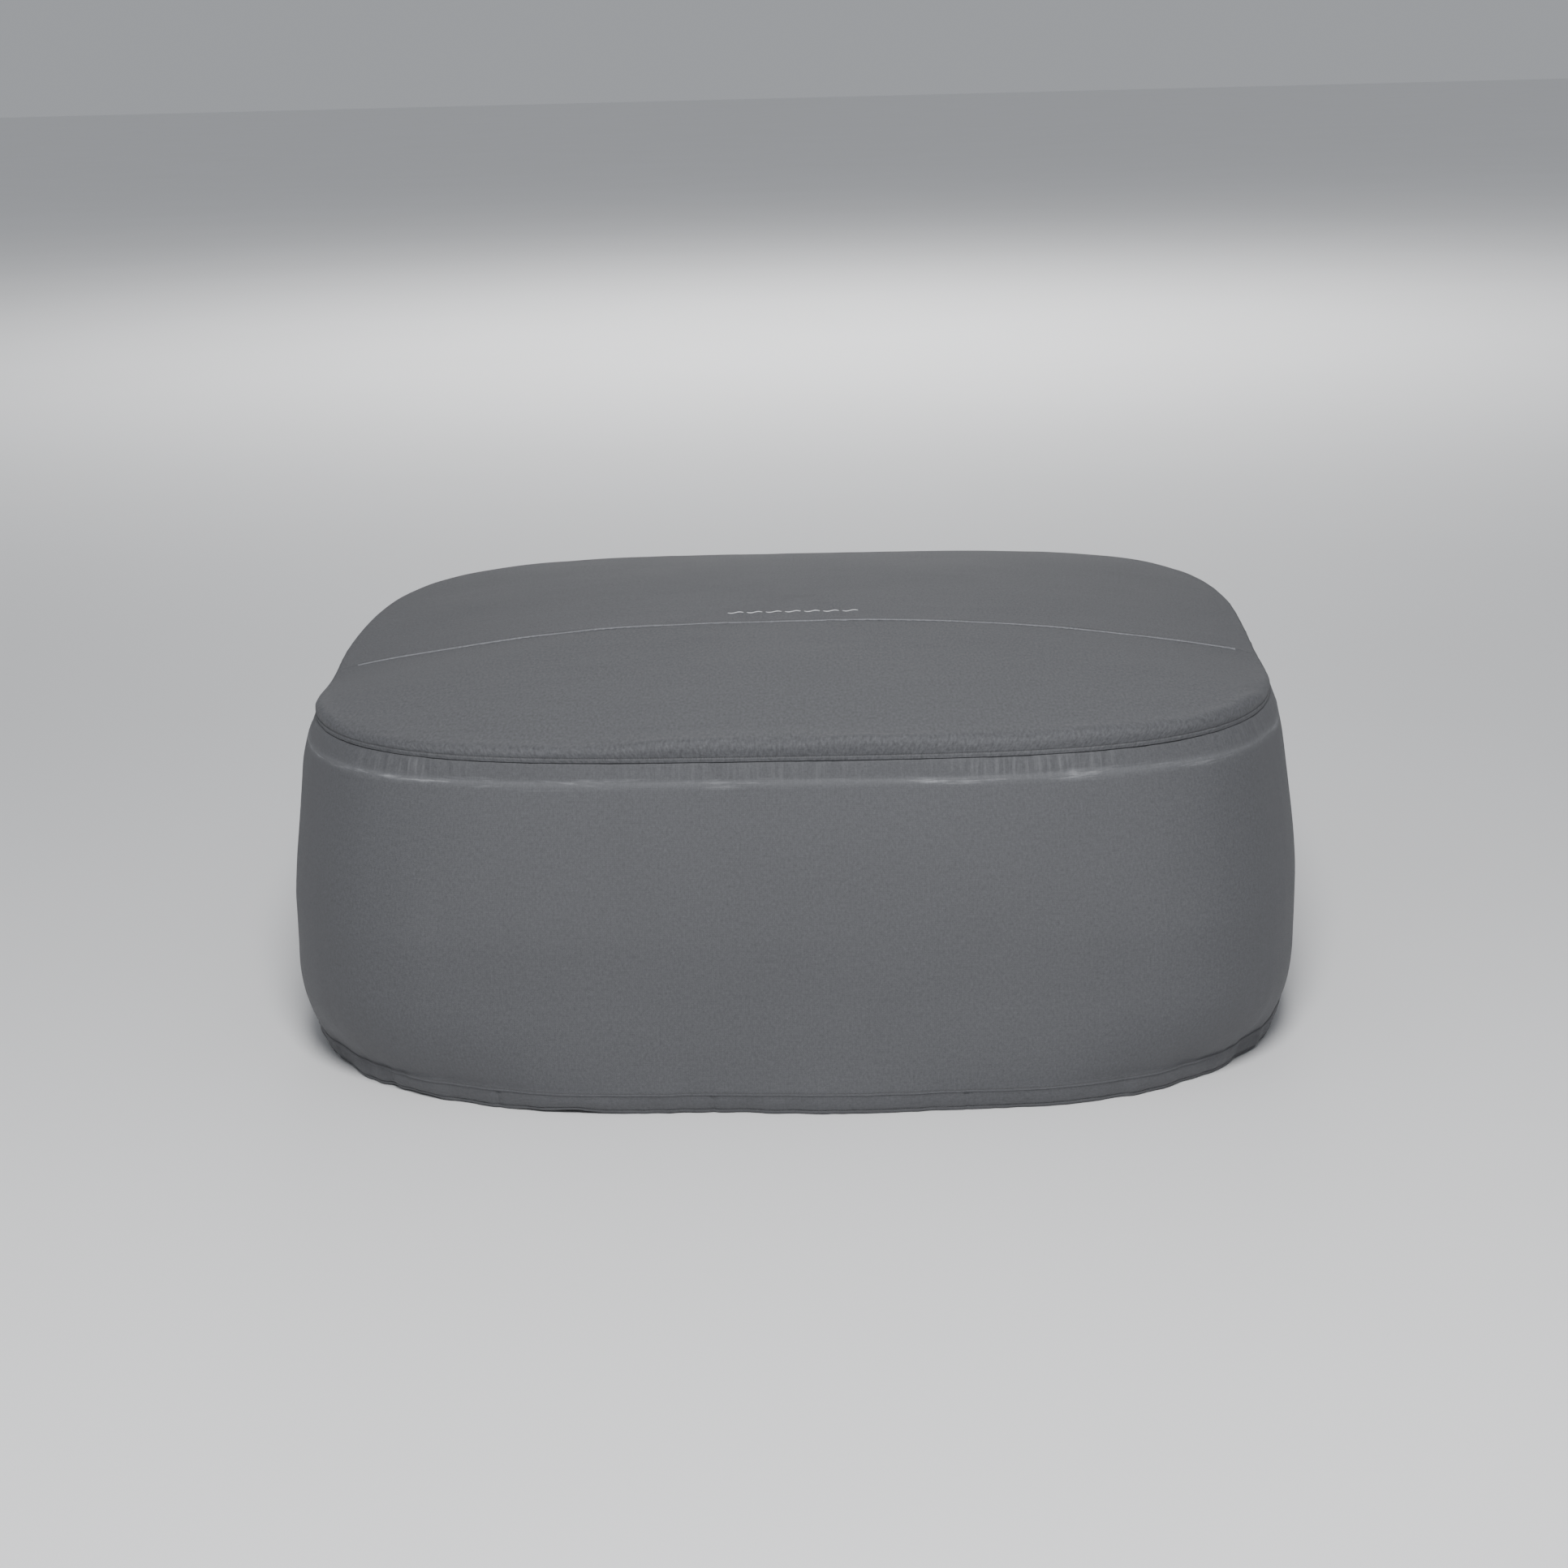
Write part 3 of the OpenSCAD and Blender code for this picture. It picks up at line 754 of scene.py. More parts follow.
def strip_of_wall(name, ends, heights, depths, material, spacing=0.02, rounding=0.0, ripple=None):
    start, end = ends
    low, high = heights
    outer, inner = depths
    across = edge_steps(*length_at(np.array([start, end])), spacing, rounding)
    up = edge_steps(low, high, spacing, rounding)
    u, z = np.meshgrid(across, up)
    direction = np.interp(u, plan_lengths, plan_steps)
    edge = np.minimum.reduce([u - across[0], across[-1] - u, z - low, high - z])
    turned = 0.0
    if rounding:
        turned = rounding * (1 - np.sqrt(1 - (1 - np.clip(edge / rounding, 0, 1)) ** 2))
        turned = np.minimum(turned, (inner - outer) * 0.42)
    extra = ripple(u, z, np.clip(edge / 0.02, 0, 1)) if ripple else 0.0
    face = wall_points(direction, z, outer + turned - extra)
    back = wall_points(direction, z, inner - turned - extra)
    return slab(name, face, back, np.stack([u, z], -1), material)


# %% [markdown]
# ## Skirt
# One long strip goes round the front and both sides. A shorter piece fills the back and
# has the hose opening cut out of it. Rows of points crowd together at the top seam,
# where the cloth dips in under the lap, and at the hem.

# %% Skirt
cloth_t = 0.0009
panel_split = math.radians(32)
skirt_low = hem_top - 0.004
skirt_high = seam_z - 0.0004


def skirt_rows(low, high, step=0.0105):
    near_seam = np.array([
        0.0, 0.0008, 0.0018, 0.003, 0.0045, 0.0065, 0.009, 0.012, 0.016, 0.020, 0.0235, 0.0265,
        0.0285, 0.030, 0.0315, 0.033, 0.0345, 0.036, 0.0375, 0.039, 0.042, 0.048, 0.056,
    ])
    foot = low + np.array([0.0, 0.0015, 0.003, 0.005, 0.008, 0.012, 0.017, 0.023, 0.030, 0.038])
    middle = np.arange(foot[-1] + step, high - near_seam[-1] - step / 2, step)
    return np.concatenate([foot, middle, (high - near_seam)[::-1]])


def skirt_sheet(name, directions, heights):
    a, z = np.meshgrid(directions, heights)
    dip = 0.0024 * np.exp(-(seam_z - z) / 0.0020)
    lap = 0.0007 * (1 - smooth((z - skirt_low) / 0.005))
    face = wall_points(a, z, dip - lap)
    back = wall_points(a, z, dip - lap + cloth_t)
    cloth = np.stack(np.broadcast_arrays(length_at(a), z), -1)
    return slab(name, face, back, cloth, skin_material)


def mark_wear_and_painted_highlights(piece):
    """Stores where the cloth rubs on the tub's rim, for pale wear and a painted highlight there, and where
    the gathers take painted highlights.
    """
    places = np.empty(len(piece.data.vertices) * 3)
    piece.data.vertices.foreach_get("co", places)
    x, y, z = places.reshape(-1, 3).T
    # Pale wear and a painted highlight along the rim's crease.
    rim_wear_and_highlight_mask = hump(seam_z - z, crease_depth + 0.002, 0.0065)
    # Where the gathers under the seam take painted highlights.
    gathered = puckered_patches(x, y) * hump(seam_z - z, 0.016, 0.018)
    for name, values in (("wear_and_rim_highlight", rim_wear_and_highlight_mask), ("gather", gathered)):
        marks = piece.data.attributes.new(name, "FLOAT", "POINT")
        marks.data.foreach_set("value", values.astype(np.float32))


skirt_wrap = skirt_sheet(
    "skirt_wrap",
    directions_between(rear + panel_split, rear + turn - panel_split, 0.0048),
    skirt_rows(skirt_low, skirt_high),
)
mark_wear_and_painted_highlights(skirt_wrap)
stands_for(skirt_wrap, ["skirt_panel_wrap"])
told(skirt_wrap)

# %% [markdown]
# The rear piece is made in three parts that share their edge points: one on each side
# of the opening and one above it.

# %% Rear of the skirt
opening_half = math.radians(15)
binding_turn = math.radians(1)
cut_half = opening_half + binding_turn
cut_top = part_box("opening_binding")[1].z + 0.0005


def notched(name, low, high, make):
    """A rear piece round the opening: left side, right side and the part above."""
    return joined(name, [
        make(name, (rear + cut_half, rear + panel_split), (low, high)),
        make(name, (rear - panel_split, rear - cut_half), (low, high)),
        make(name, around(rear, cut_half), (cut_top, high)),
    ])


def rear_part(name, ends, heights):
    rows = skirt_rows(skirt_low, skirt_high)
    if heights[0] > skirt_low + 0.01:
        rows = np.concatenate([[heights[0]], rows[rows > heights[0] + 0.004]])
    return skirt_sheet(name, directions_between(*ends, 0.007), rows)


skirt_rear = notched("skirt_rear", skirt_low, skirt_high, rear_part)
mark_wear_and_painted_highlights(skirt_rear)
stands_for(skirt_rear, ["skirt_panel_rear"])
told(skirt_rear)

# %% [markdown]
# ## Top
# The two panels of the top are one round grid of points cut in two along the cross
# seam. The Solidify modifier then gives the cloth its thickness, and does the same for
# the foam and the lining under it.

# %% Grid over the top
top_reach = 0.975 * seam_half
top_rows = np.concatenate([
    [0.0, 0.0006, 0.0016, 0.003, 0.0048, 0.0062, 0.0070, 0.0078, 0.0088, 0.0105, 0.013],
    np.arange(0.016, 0.064, 0.0034),
    np.arange(0.064, 0.12, 0.006),
    np.arange(0.12, top_reach, 0.0135),
])


def cut_at_cross_seam(piece, half):
    """Keeps the half of the piece in front of the cross seam, -1, or behind it, 1."""
    bm = bmesh.new()
    bm.from_mesh(piece.data)
    bmesh.ops.bisect_plane(
        bm,
        geom=bm.verts[:] + bm.edges[:] + bm.faces[:],
        plane_co=(0, cross_seam_y + half * 0.0002, 0),
        plane_no=(0, half, 0),
        clear_inner=True,
    )
    bm.to_mesh(piece.data)
    bm.free()


def top_sheet(name, depth, thickness, material, rows=top_rows, spacing=0.0055, half=None):
    directions = directions_between(0, turn, spacing)[:-1]
    a, along = np.meshgrid(directions, rows)
    points = top_points(along, a, depth).reshape(-1, 3)
    crown = top_points(np.array([seam_half + 0.02]), np.array([0.0]), depth)
    crown[:, :2] = 0
    points = np.concatenate([points, crown])
    flat = (seam_half + 0.02 - along) * plan_reach(a, seam_square)
    cloth = np.stack([flat * np.cos(a), flat * np.sin(a)], -1).reshape(-1, 2)
    cloth = np.concatenate([cloth, [[0.0, 0.0]]])
    count = len(directions)
    i, j = np.meshgrid(np.arange(len(rows) - 1), np.arange(count), indexing="ij")
    here, ahead = (i * count + j).ravel(), (i * count + (j + 1) % count).ravel()
    quads = np.stack([here, ahead, ahead + count, here + count], -1).tolist()
    last = (len(rows) - 1) * count
    fan = [[last + k, last + (k + 1) % count, len(points) - 1] for k in range(count)]
    piece = new_piece(name, points, quads + fan, cloth, material, 60)
    if half:
        cut_at_cross_seam(piece, half)
    solid = piece.modifiers.new("thickness", "SOLIDIFY")
    solid.thickness = thickness
    solid.offset = -1
    return piece


top_front = top_sheet("top_front", 0.0, cloth_t, top_material, half=-1)
top_rear = top_sheet("top_rear", 0.0, cloth_t, top_material, half=1)
stands_for(top_front, ["top_panel_front"])
stands_for(top_rear, ["top_panel_rear"])
told(top_front, top_rear)

# %% Foam and lining of the top
foam_depth, foam_t, foil_depth, foil_t = 0.003, 0.012, 0.016, 0.0008
deep_edge = [0.004, 0.009, 0.015, 0.022, 0.03, 0.04, 0.052]
deep_rows = np.concatenate([deep_edge, np.arange(0.07, top_reach, 0.03)])
foam_front = top_sheet("foam_top_front", foam_depth, foam_t, foam_material, deep_rows, 0.018, -1)
foam_rear = top_sheet("foam_top_rear", foam_depth, foam_t, foam_material, deep_rows, 0.018, 1)
stands_for(foam_front, ["top_foam_front"])
stands_for(foam_rear, ["top_foam_rear"])
lining_top = top_sheet("lining_top", foil_depth, foil_t, foil_material, deep_rows, 0.016)
stands_for(lining_top, ["top_lining"])
told(foam_front, foam_rear, lining_top)

# %% [markdown]
# ## Boards and lining of the skirt
# Foam boards stand behind the fabric, one to a side and one bent round each corner,
# and the foil lining covers them. The boards follow the wall and have rounded edges,
# and the lining has soft crinkles.

# %% Foam boards
board_split = math.radians(30)
board_gap = 0.0008
board_low, board_high = heights_of("skirt_foam_front")
board_ends = {
    "front": around(rear + math.pi, board_split),
    "left": around(math.pi, board_split),
    "right": around(0, board_split),
    "corner_front_left": (math.pi + board_split, rear + math.pi - board_split),
    "corner_front_right": (rear + math.pi + board_split, turn - board_split),
    "corner_rear_left": (rear + board_split, math.pi - board_split),
    "corner_rear_right": (board_split, rear - board_split),
    "rear_left": (rear + cut_half, rear + board_split),
    "rear_right": (rear - board_split, rear - cut_half),
    "rear_top": around(rear, cut_half),
}
for place, (start, end) in board_ends.items():
    board = strip_of_wall(
        "board_" + place,
        (start + board_gap, end - board_gap),
        (cut_top if place == "rear_top" else board_low, board_high),
        (foam_depth, foam_depth + foam_t),
        foam_material,
        spacing=0.024,
        rounding=0.004,
    )
    stands_for(board, ["skirt_foam_" + place])
print("boards:", len(board_ends))


# %% Lining of the skirt
def crinkle(u, z, inside):
    return 0.0005 * inside * lattice_noise(u * 30, z * 30, 9.5)


def lining_part(name, ends, heights):
    depths = (foil_depth, foil_depth + foil_t)
    return strip_of_wall(name, ends, heights, depths, foil_material, 0.012, 0.0, crinkle)


lining_wrap = lining_part(
    "lining_wrap", (rear + panel_split, rear + turn - panel_split), (skirt_low + 0.004, board_high)
)
stands_for(lining_wrap, ["skirt_lining_wrap"])
lining_rear = notched("lining_rear", skirt_low + 0.004, board_high, lining_part)
stands_for(lining_rear, ["skirt_lining_rear"])
told(lining_wrap, lining_rear)

# %% [markdown]
# ## Hem
# The hem is a casing: the cloth is folded under itself and sewn, and the elastic inside
# draws it in under the tub. Its fold hangs in small scallops, most of all at the
# corners, where there is more cloth to take in.

# %% Hem casing
hem_start, hem_end = rear + cut_half + 0.001, rear + turn - cut_half - 0.001
hem_t = 0.0011
hem_stitch_z = 0.0082
tight_stitches = (-0.50, -0.13, 0.30)
hem_profile = np.array([
    [-0.0002, 0.0420], [-0.0004, 0.0400], [0.0006, 0.0375], [0.0012, 0.0340],
    [0.0008, 0.0290], [0.0002, 0.0240], [0.0000, 0.0190], [0.0002, 0.0140],
    [0.0004, 0.0105], [0.0014, hem_stitch_z], [0.0010, 0.0062], [0.0008, 0.0040],
    [0.0018, 0.0018], [0.0038, 0.0004], [0.0062, 0.0000], [0.0088, 0.0002],
    [0.0112, 0.0014], [0.0132, 0.0040], [0.0142, 0.0080], [0.0148, 0.0140],
    [0.0150, 0.0250], [0.0150, 0.0420],
])


def hem_lift(x, y):
    """How far the bottom edge hangs above the floor."""
    corner = corner_share(x, y)
    scallop = np.clip(0.15 + layered_noise(x * 10, y * 10, 7.5, 2), 0, 1)
    raised = 0.0050 * hump(x, -0.365, 0.035) * (y < 0)
    return (0.0022 + 0.0105 * corner) * scallop + raised


def hem_points(direction, depth, z):
    """Points of the casing. It is gathered, and pulled in along its row of stitches."""
    place = wall_points(direction, z, 0.0, 0.0)
    x, y = place[..., 0], place[..., 1]
    gather = 0.0020 * layered_noise(x * 34, y * 34, 1.5, 2) * smooth((0.040 - z) / 0.02)
    pull = 0.0008 * hump(z, hem_stitch_z, 0.0012) * (1 + lattice_noise(x * 200, y * 200, 0.5))
    for tight_x in tight_stitches:
        pull = pull + 0.0026 * hump(x, tight_x, 0.0045) * (y < 0) * smooth(z / 0.004)
    shaped = wall_points(direction, z, depth - gather + pull)
    shaped[..., 2] = z + hem_lift(x, y) * (1 - smooth(z / 0.03))
    return shaped


hem_directions = directions_between(hem_start, hem_end, 0.0055)
hem_normals = np.gradient(hem_profile, axis=0)[:, ::-1] * [-1, 1]
hem_normals /= np.linalg.norm(hem_normals, axis=1, keepdims=True)
hem_inner = hem_profile + hem_normals * hem_t
hem_inner[:, 1] = np.maximum(hem_inner[:, 1], hem_t)


def hem_grid(profile):
    a, depth = np.meshgrid(hem_directions, profile[:, 0])
    _, z = np.meshgrid(hem_directions, profile[:, 1])
    return hem_points(a, depth, z)[::-1]


hem_face, hem_back = hem_grid(hem_profile), hem_grid(hem_inner)
hem_run = np.concatenate([[0], np.cumsum(np.linalg.norm(np.diff(hem_profile, axis=0), axis=1))])
hem_cloth = np.stack(np.meshgrid(length_at(hem_directions), hem_run), -1)[::-1]
hem = slab("hem", hem_face, hem_back, hem_cloth, hem_material)
stands_for(hem, ["hem_casing"])
told(hem)

# %% Elastic in the hem
elastic_low, elastic_high = 0.010, 0.032
elastic = strip_of_wall(
    "elastic",
    (hem_start + 0.01, hem_end - 0.01),
    (elastic_low, elastic_high),
    (0.006, 0.009),
    elastic_material,
    spacing=0.008,
    rounding=0.001,
    ripple=lambda u, z, inside: 0.0006 * np.sin(u * turn / 0.02),
)
stands_for(elastic, ["hem_elastic"])
told(elastic)

# %% [markdown]
# ## Stitches
# A stitch is a short, fat bead of thread that sinks into the cloth at both ends. A row
# of them follows any line of points, a fixed pitch apart.

# %% Rows of stitches
def walk(points, pitch):
    """Points a fixed distance apart along a line, and the direction of travel at each."""
    lengths = np.concatenate([[0], np.cumsum(np.linalg.norm(np.diff(points, axis=0), axis=1))])
    marks = np.arange(pitch / 2, lengths[-1], pitch)
    placed = np.stack([np.interp(marks, lengths, points[:, k]) for k in range(3)], -1)
    ahead = np.stack([np.interp(marks + pitch * 0.2, lengths, points[:, k]) for k in range(3)], -1)
    travel = ahead - placed
    gone = np.linalg.norm(travel, axis=1, keepdims=True)
    return placed, np.where(gone > 1e-9, travel / np.maximum(gone, 1e-9), [1.0, 0, 0])


def stitch_row(name, lines, normal_of, pitch=0.0042, width=0.0009, lift=0.0002):
    sides = 6
    ring = [(math.cos(t), math.sin(t)) for t in np.linspace(0, turn, sides + 1)[:-1]]
    spots = np.array([-0.42, -0.25, 0.0, 0.25, 0.42])
    fat = np.array([0.35, 0.85, 1.0, 0.85, 0.35])
    sink = np.array([-0.9, -0.1, 0.25, -0.1, -0.9])
    last = (len(spots) - 1) * sides
    points, faces, cloth = [], [], []
    for line in lines:
        placed, travel = walk(np.asarray(line, float), pitch)
        up = normal_of(placed)
        side = np.cross(travel, up)
        for centre, t, n, s in zip(placed, travel, up, side):
            start = len(points)
            for spot, f, k in zip(spots, fat, sink):
                middle = centre + t * spot * pitch + n * (k * width * 0.5 + lift)
                for c, d in ring:
                    points.append(middle + (s * c + n * d) * f * width * 0.5)
                    cloth.append((spot * pitch, c * width))
            for first in range(start, start + last, sides):
                for q in range(sides):
                    a, b = first + q, first + (q + 1) % sides
                    faces.append((a, b, b + sides, a + sides))
            faces.append(tuple(start + q for q in range(sides - 1, -1, -1)))
            faces.append(tuple(start + last + q for q in range(sides)))
    return new_piece(name, np.array(points), faces, np.array(cloth), thread_material)


def out_of_wall(points):
    """Directions straight out of the wall at points on it."""
    across = np.abs(points[:, :2]) ** 3 * np.sign(points[:, :2])
    across /= np.linalg.norm(across, axis=1, keepdims=True)
    return np.concatenate([across, np.zeros((len(points), 1))], 1)


def up_from_top(points):
    return np.tile([0.0, 0.0, 1.0], (len(points), 1))


round_wall = directions_between(0, turn, 0.006)
lap_stitches = stitch_row(
    "lap_stitches", [top_points(lap_width, round_wall, 0.0)], out_of_wall, 0.0042, 0.0010
)
stands_for(lap_stitches, [])
hem_row = hem_points(hem_directions, 0.0012, np.full_like(hem_directions, hem_stitch_z))
hem_stitches = stitch_row("hem_stitches", [hem_row], out_of_wall, 0.0046, 0.0010)
stands_for(hem_stitches, [])
hem_join = wall_points(hem_directions, np.full_like(hem_directions, skirt_low + 0.0045), -0.0003)
join_stitches = stitch_row("join_stitches", [hem_join], out_of_wall, 0.0046, 0.0009)
stands_for(join_stitches, [])
faces_per_stitch = 26
print("stitches in the lap:", len(lap_stitches.data.polygons) // faces_per_stitch)

# %% [markdown]
# ## Cross seam and printed mark
# The two top panels are joined by a flat lapped seam from side to side, with a row of
# stitches along each edge. Its front edge stands proud and catches the light. Behind it
# a plain row of ripples is printed.

# %% Cross seam
seam_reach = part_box("top_cross_seam")[1].x + 0.018
seam_x = np.linspace(-seam_reach, seam_reach, 420)
seam_profile = np.array([
    [-0.50, 0.0], [-0.455, 1.1], [-0.40, 1.9], [-0.33, 2.0], [-0.26, 1.7],
    [0.0, 1.4], [0.26, 1.1], [0.33, 0.9], [0.42, 0.6], [0.50, 0.0],
])
x_grid, share = np.meshgrid(seam_x, seam_profile[:, 0])
_, proud = np.meshgrid(seam_x, seam_profile[:, 1])
y_grid = cross_seam_y + share * seam_width + 0.0008 * lattice_noise(x_grid * 9, 0.0, 2.5)
seam_face = on_top(x_grid, y_grid, 0.0002 + 0.0007 * proud)
seam_back = on_top(x_grid, y_grid, 0.0001)
# Its cloth is painted paler, a painted highlight along the seam.
cross_seam = slab("cross_seam", seam_face, seam_back, np.stack([x_grid, y_grid], -1), seam_highlight_material)
stands_for(cross_seam, ["top_cross_seam"])
cross_lines = [
    on_top(seam_x, cross_seam_y + share * seam_width + 0 * seam_x, lift)
    for share, lift in ((-0.33, 0.0018), (0.33, 0.0010))
]
cross_stitches = stitch_row("cross_stitches", cross_lines, up_from_top, 0.0042, 0.0009)
stands_for(cross_stitches, [])
told(cross_seam, cross_stitches)

# %% Printed ripples
wave_low, wave_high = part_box("top_wave_mark")
ripple_count, ripple_long, ripple_high = 7, 0.030, 0.005
ripple_pitch = (wave_high.x - wave_low.x - ripple_long) / (ripple_count - 1)
ripple_run = np.linspace(-ripple_long / 2, ripple_long / 2, 25)
ripple_wide = 0.0017 * np.sqrt(np.clip(1 - (ripple_run / 0.0152) ** 4, 0.01, 1))
ripple_curve = (wave_low.y + wave_high.y) / 2 + ripple_high * np.sin(turn * ripple_run / ripple_long)
ripples = []
for index in range(ripple_count):
    middle = (index - (ripple_count - 1) / 2) * ripple_pitch
    x_grid, side = np.meshgrid(middle + ripple_run, np.linspace(-1, 1, 4))
    y_grid = ripple_curve + side * ripple_wide
    face, back = on_top(x_grid, y_grid, 0.0005), on_top(x_grid, y_grid, 0.0001)
    ripples.append(slab("ripple", face, back, np.stack([x_grid, y_grid], -1), print_material))
wave_mark = joined("wave_mark", ripples)
stands_for(wave_mark, ["top_wave_mark"])
told(wave_mark)

# %% [markdown]
# ## Tapes inside and at the back
# A tape covers the top seam's raw edges inside. At the back, lapped tapes close the two
# upright seams, binding finishes the opening's edge, and loop tape runs down both sides.

# %% Tapes
def on_both_sides(name, at, half, heights, depths, material, spacing=0.006, rounding=0.0005):
    """Two upright strips of wall, the same way off from the middle of the back."""
    return [
        strip_of_wall(name, around(rear + side * at, half), heights, depths, material, spacing, rounding)
        for side in (-1, 1)
    ]


inside_tape = strip_of_wall(
    "seam_tape_inside", (rear, rear + turn - 0.006), heights_of("top_edge_seam_tape"), (0.0032, 0.0050),
    tape_material, 0.01, 0.0006,
)
stands_for(inside_tape, ["top_edge_seam_tape"])
seam_tapes = joined("skirt_seam_tapes_pair", on_both_sides(
    "tape", panel_split, math.radians(0.4), (skirt_low + 0.008, skirt_high - 0.002),
    (-0.0016, -0.0003), skin_material, 0.005, 0.0006,
))
stands_for(seam_tapes, ["skirt_seam_tapes"])
told(inside_tape, seam_tapes)

# %% Opening's binding
binding_foot, binding_head = heights_of("opening_binding")
binding_wide, binding_rounding = 0.016, 0.0035
binding_depths = (-0.0004, foil_depth + 0.003)
opening_top = binding_head - binding_wide
binding_parts = on_both_sides(
    "binding", opening_half + binding_turn / 2, binding_turn / 2, (binding_foot, opening_top + 0.008),
    binding_depths, tape_material, 0.006, binding_rounding,
)
binding_parts.append(strip_of_wall(
    "binding", around(rear, cut_half), (opening_top, binding_head), binding_depths, tape_material,
    0.006, binding_rounding,
))
binding = joined("opening_edge_binding", binding_parts)
stands_for(binding, ["opening_binding"])
told(binding)

# %% Hook and loop tapes
closure_heights = heights_of("opening_loop_tapes")
closure_at, closure_half = cut_half + math.radians(2), math.radians(0.75)


def closure_pair(name, depths, material):
    return joined(name, on_both_sides("tape", closure_at, closure_half, closure_heights, depths, material))


loop_tapes = closure_pair("loop_tapes", (-0.0020, -0.0004), loop_material)
stands_for(loop_tapes, ["opening_loop_tapes"])
hook_tapes = closure_pair("hook_tapes", (-0.0040, -0.0026), hook_material)
stands_for(hook_tapes, ["flap_hook_tapes"], "hose_flap")
told(loop_tapes, hook_tapes)

# %% [markdown]
# ## Flap
# The flap is a small quilt: outer fabric, thin foam and foil, bound round its free
# edges. It hangs from a stitched band above the opening, and a tab peels it open. Its
# layers lie outside the wall's face, so their depths are negative.

# %% Flap
flap_low, flap_high = heights_of("flap_panel")
flap_half = cut_half + math.radians(4)
edge_turn = math.radians(0.6)
inner_ends = around(rear, flap_half - edge_turn)
inner_heights = (flap_low + 0.012, flap_high)


def quilt(u, z, inside):
    return 0.0016 * smooth(inside) + 0.0008 * lattice_noise(u * 14, z * 14, 5.5) * inside


flap_skin = strip_of_wall(
    "flap_fabric", around(rear, flap_half), (flap_low, flap_high), (-0.0124, -0.0112),
    skin_material, 0.006, 0.0012, quilt,
)
stands_for(flap_skin, ["flap_panel"], "hose_flap")
flap_foam = strip_of_wall(
    "flap_foam_sheet", inner_ends, inner_heights, (-0.0104, -0.0068), foam_material, 0.012, 0.001
)
stands_for(flap_foam, ["flap_foam"], "hose_flap")
flap_foil = strip_of_wall(
    "flap_foil", inner_ends, inner_heights, (-0.0058, -0.0050), foil_material, 0.012, 0.0,
    lambda u, z, inside: crinkle(u, z, inside) * 0.5,
)
stands_for(flap_foil, ["flap_lining"], "hose_flap")
told(flap_skin, flap_foam, flap_foil)

# %% Flap's binding
trim_depths, trim_wide, trim_rounding = (-0.0110, -0.0046), 0.0112, 0.0018
flap_edges = on_both_sides(
    "edge", flap_half - edge_turn / 2, edge_turn / 2, (flap_low, flap_high), trim_depths, tape_material,
    0.006, trim_rounding,
)
flap_edges.append(strip_of_wall(
    "edge", around(rear, flap_half - 0.002), (flap_low, flap_low + trim_wide), trim_depths, tape_material,
    0.006, trim_rounding,
))
flap_trim = joined("flap_edge_binding", flap_edges)
stands_for(flap_trim, ["flap_binding"], "hose_flap")
told(flap_trim)

# %% Pull tab and the flap's top band
pull_tab = strip_of_wall(
    "pull_tab", around(rear, math.radians(0.9)), heights_of("flap_pull_tab"), (-0.0166, -0.0150),
    tape_material, 0.004, 0.0007,
)
stands_for(pull_tab, ["flap_pull_tab"], "hose_flap")
band_low, band_high = heights_of("flap_top_tape")
flap_band = strip_of_wall(
    "flap_top_band", around(rear, flap_half), (band_low, band_high), (-0.0022, -0.0003),
    skin_material, 0.005, 0.0008,
)
stands_for(flap_band, ["flap_top_tape"])
told(pull_tab, flap_band)


# %% Stitches at the back
def wall_line(ends, low, high, proud):
    steps = np.linspace(0, 1, 160)
    return wall_points(mix(*ends, steps), mix(low, high, steps), -proud)


def level_line(half, z, proud):
    return wall_line(around(rear, half), z, z, proud)


def upright_line(at, low, high, proud):
    return wall_line((at, at), low, high, proud)


band_proud, seam_proud, flap_proud, flap_in = 0.0022, 0.0016, 0.0132, 0.0065
rear_lines = [level_line(flap_half - 0.004, z, band_proud) for z in (band_low + 0.003, band_high - 0.003)]
for side in (-1, 1):
    for offset in (-0.0028, 0.0028):
        at = rear + side * panel_split + offset
        rear_lines.append(upright_line(at, skirt_low + 0.012, skirt_high - 0.006, seam_proud))
rear_stitches = stitch_row("rear_stitches", rear_lines, out_of_wall, 0.0045, 0.0009)
stands_for(rear_stitches, [])
flap_foot = flap_low + 0.007
flap_lines = [level_line(flap_half - flap_in, flap_foot, flap_proud)]
for side in (-1, 1):
    at = rear + side * (flap_half - flap_in)
    flap_lines.append(upright_line(at, flap_foot, flap_high - 0.004, flap_proud))
flap_stitches = stitch_row("flap_stitches", flap_lines, out_of_wall, 0.0045, 0.0009)
stands_for(flap_stitches, [], "hose_flap")
print("rows of stitches at the back:", len(rear_lines) + len(flap_lines))

# %% Tacks and label
tack_rows = 22
tack_lines = [
    wall_line(around(at, 0.004), z, z, 0.0020)
    for at in (hem_start + math.radians(3), hem_end - math.radians(3))
    for z in np.linspace(*heights_of("hem_elastic_tacks"), tack_rows)
]
tacks = stitch_row("elastic_tacks", tack_lines, out_of_wall, 0.0036, 0.0011)
stands_for(tacks, ["hem_elastic_tacks"])
label_low, label_high = heights_of("care_label")
label = strip_of_wall(
    "blank_label", (rear + math.radians(20), rear + math.radians(25)), (label_low, label_high),
    (foil_depth + 0.0022, foil_depth + 0.0026), label_material, 0.006, 0.0,
    lambda u, z, inside: 0.0012 * np.sin((z - label_low) * 40) * inside,
)
stands_for(label, ["care_label"])
told(tacks, label)

# %% [markdown]
# ## What each cloth was cut from
# Every sheet says the size it was cut to. The sizes are worked out apart from the
# meshes, from lengths round the wall, its height and the seam's plan, with what is
# turned in at each seam. The printed pairs show how far the cloth is from its cut.

# %% Sheets
seam_turned_in = 0.015
hem_fullness = 1.08


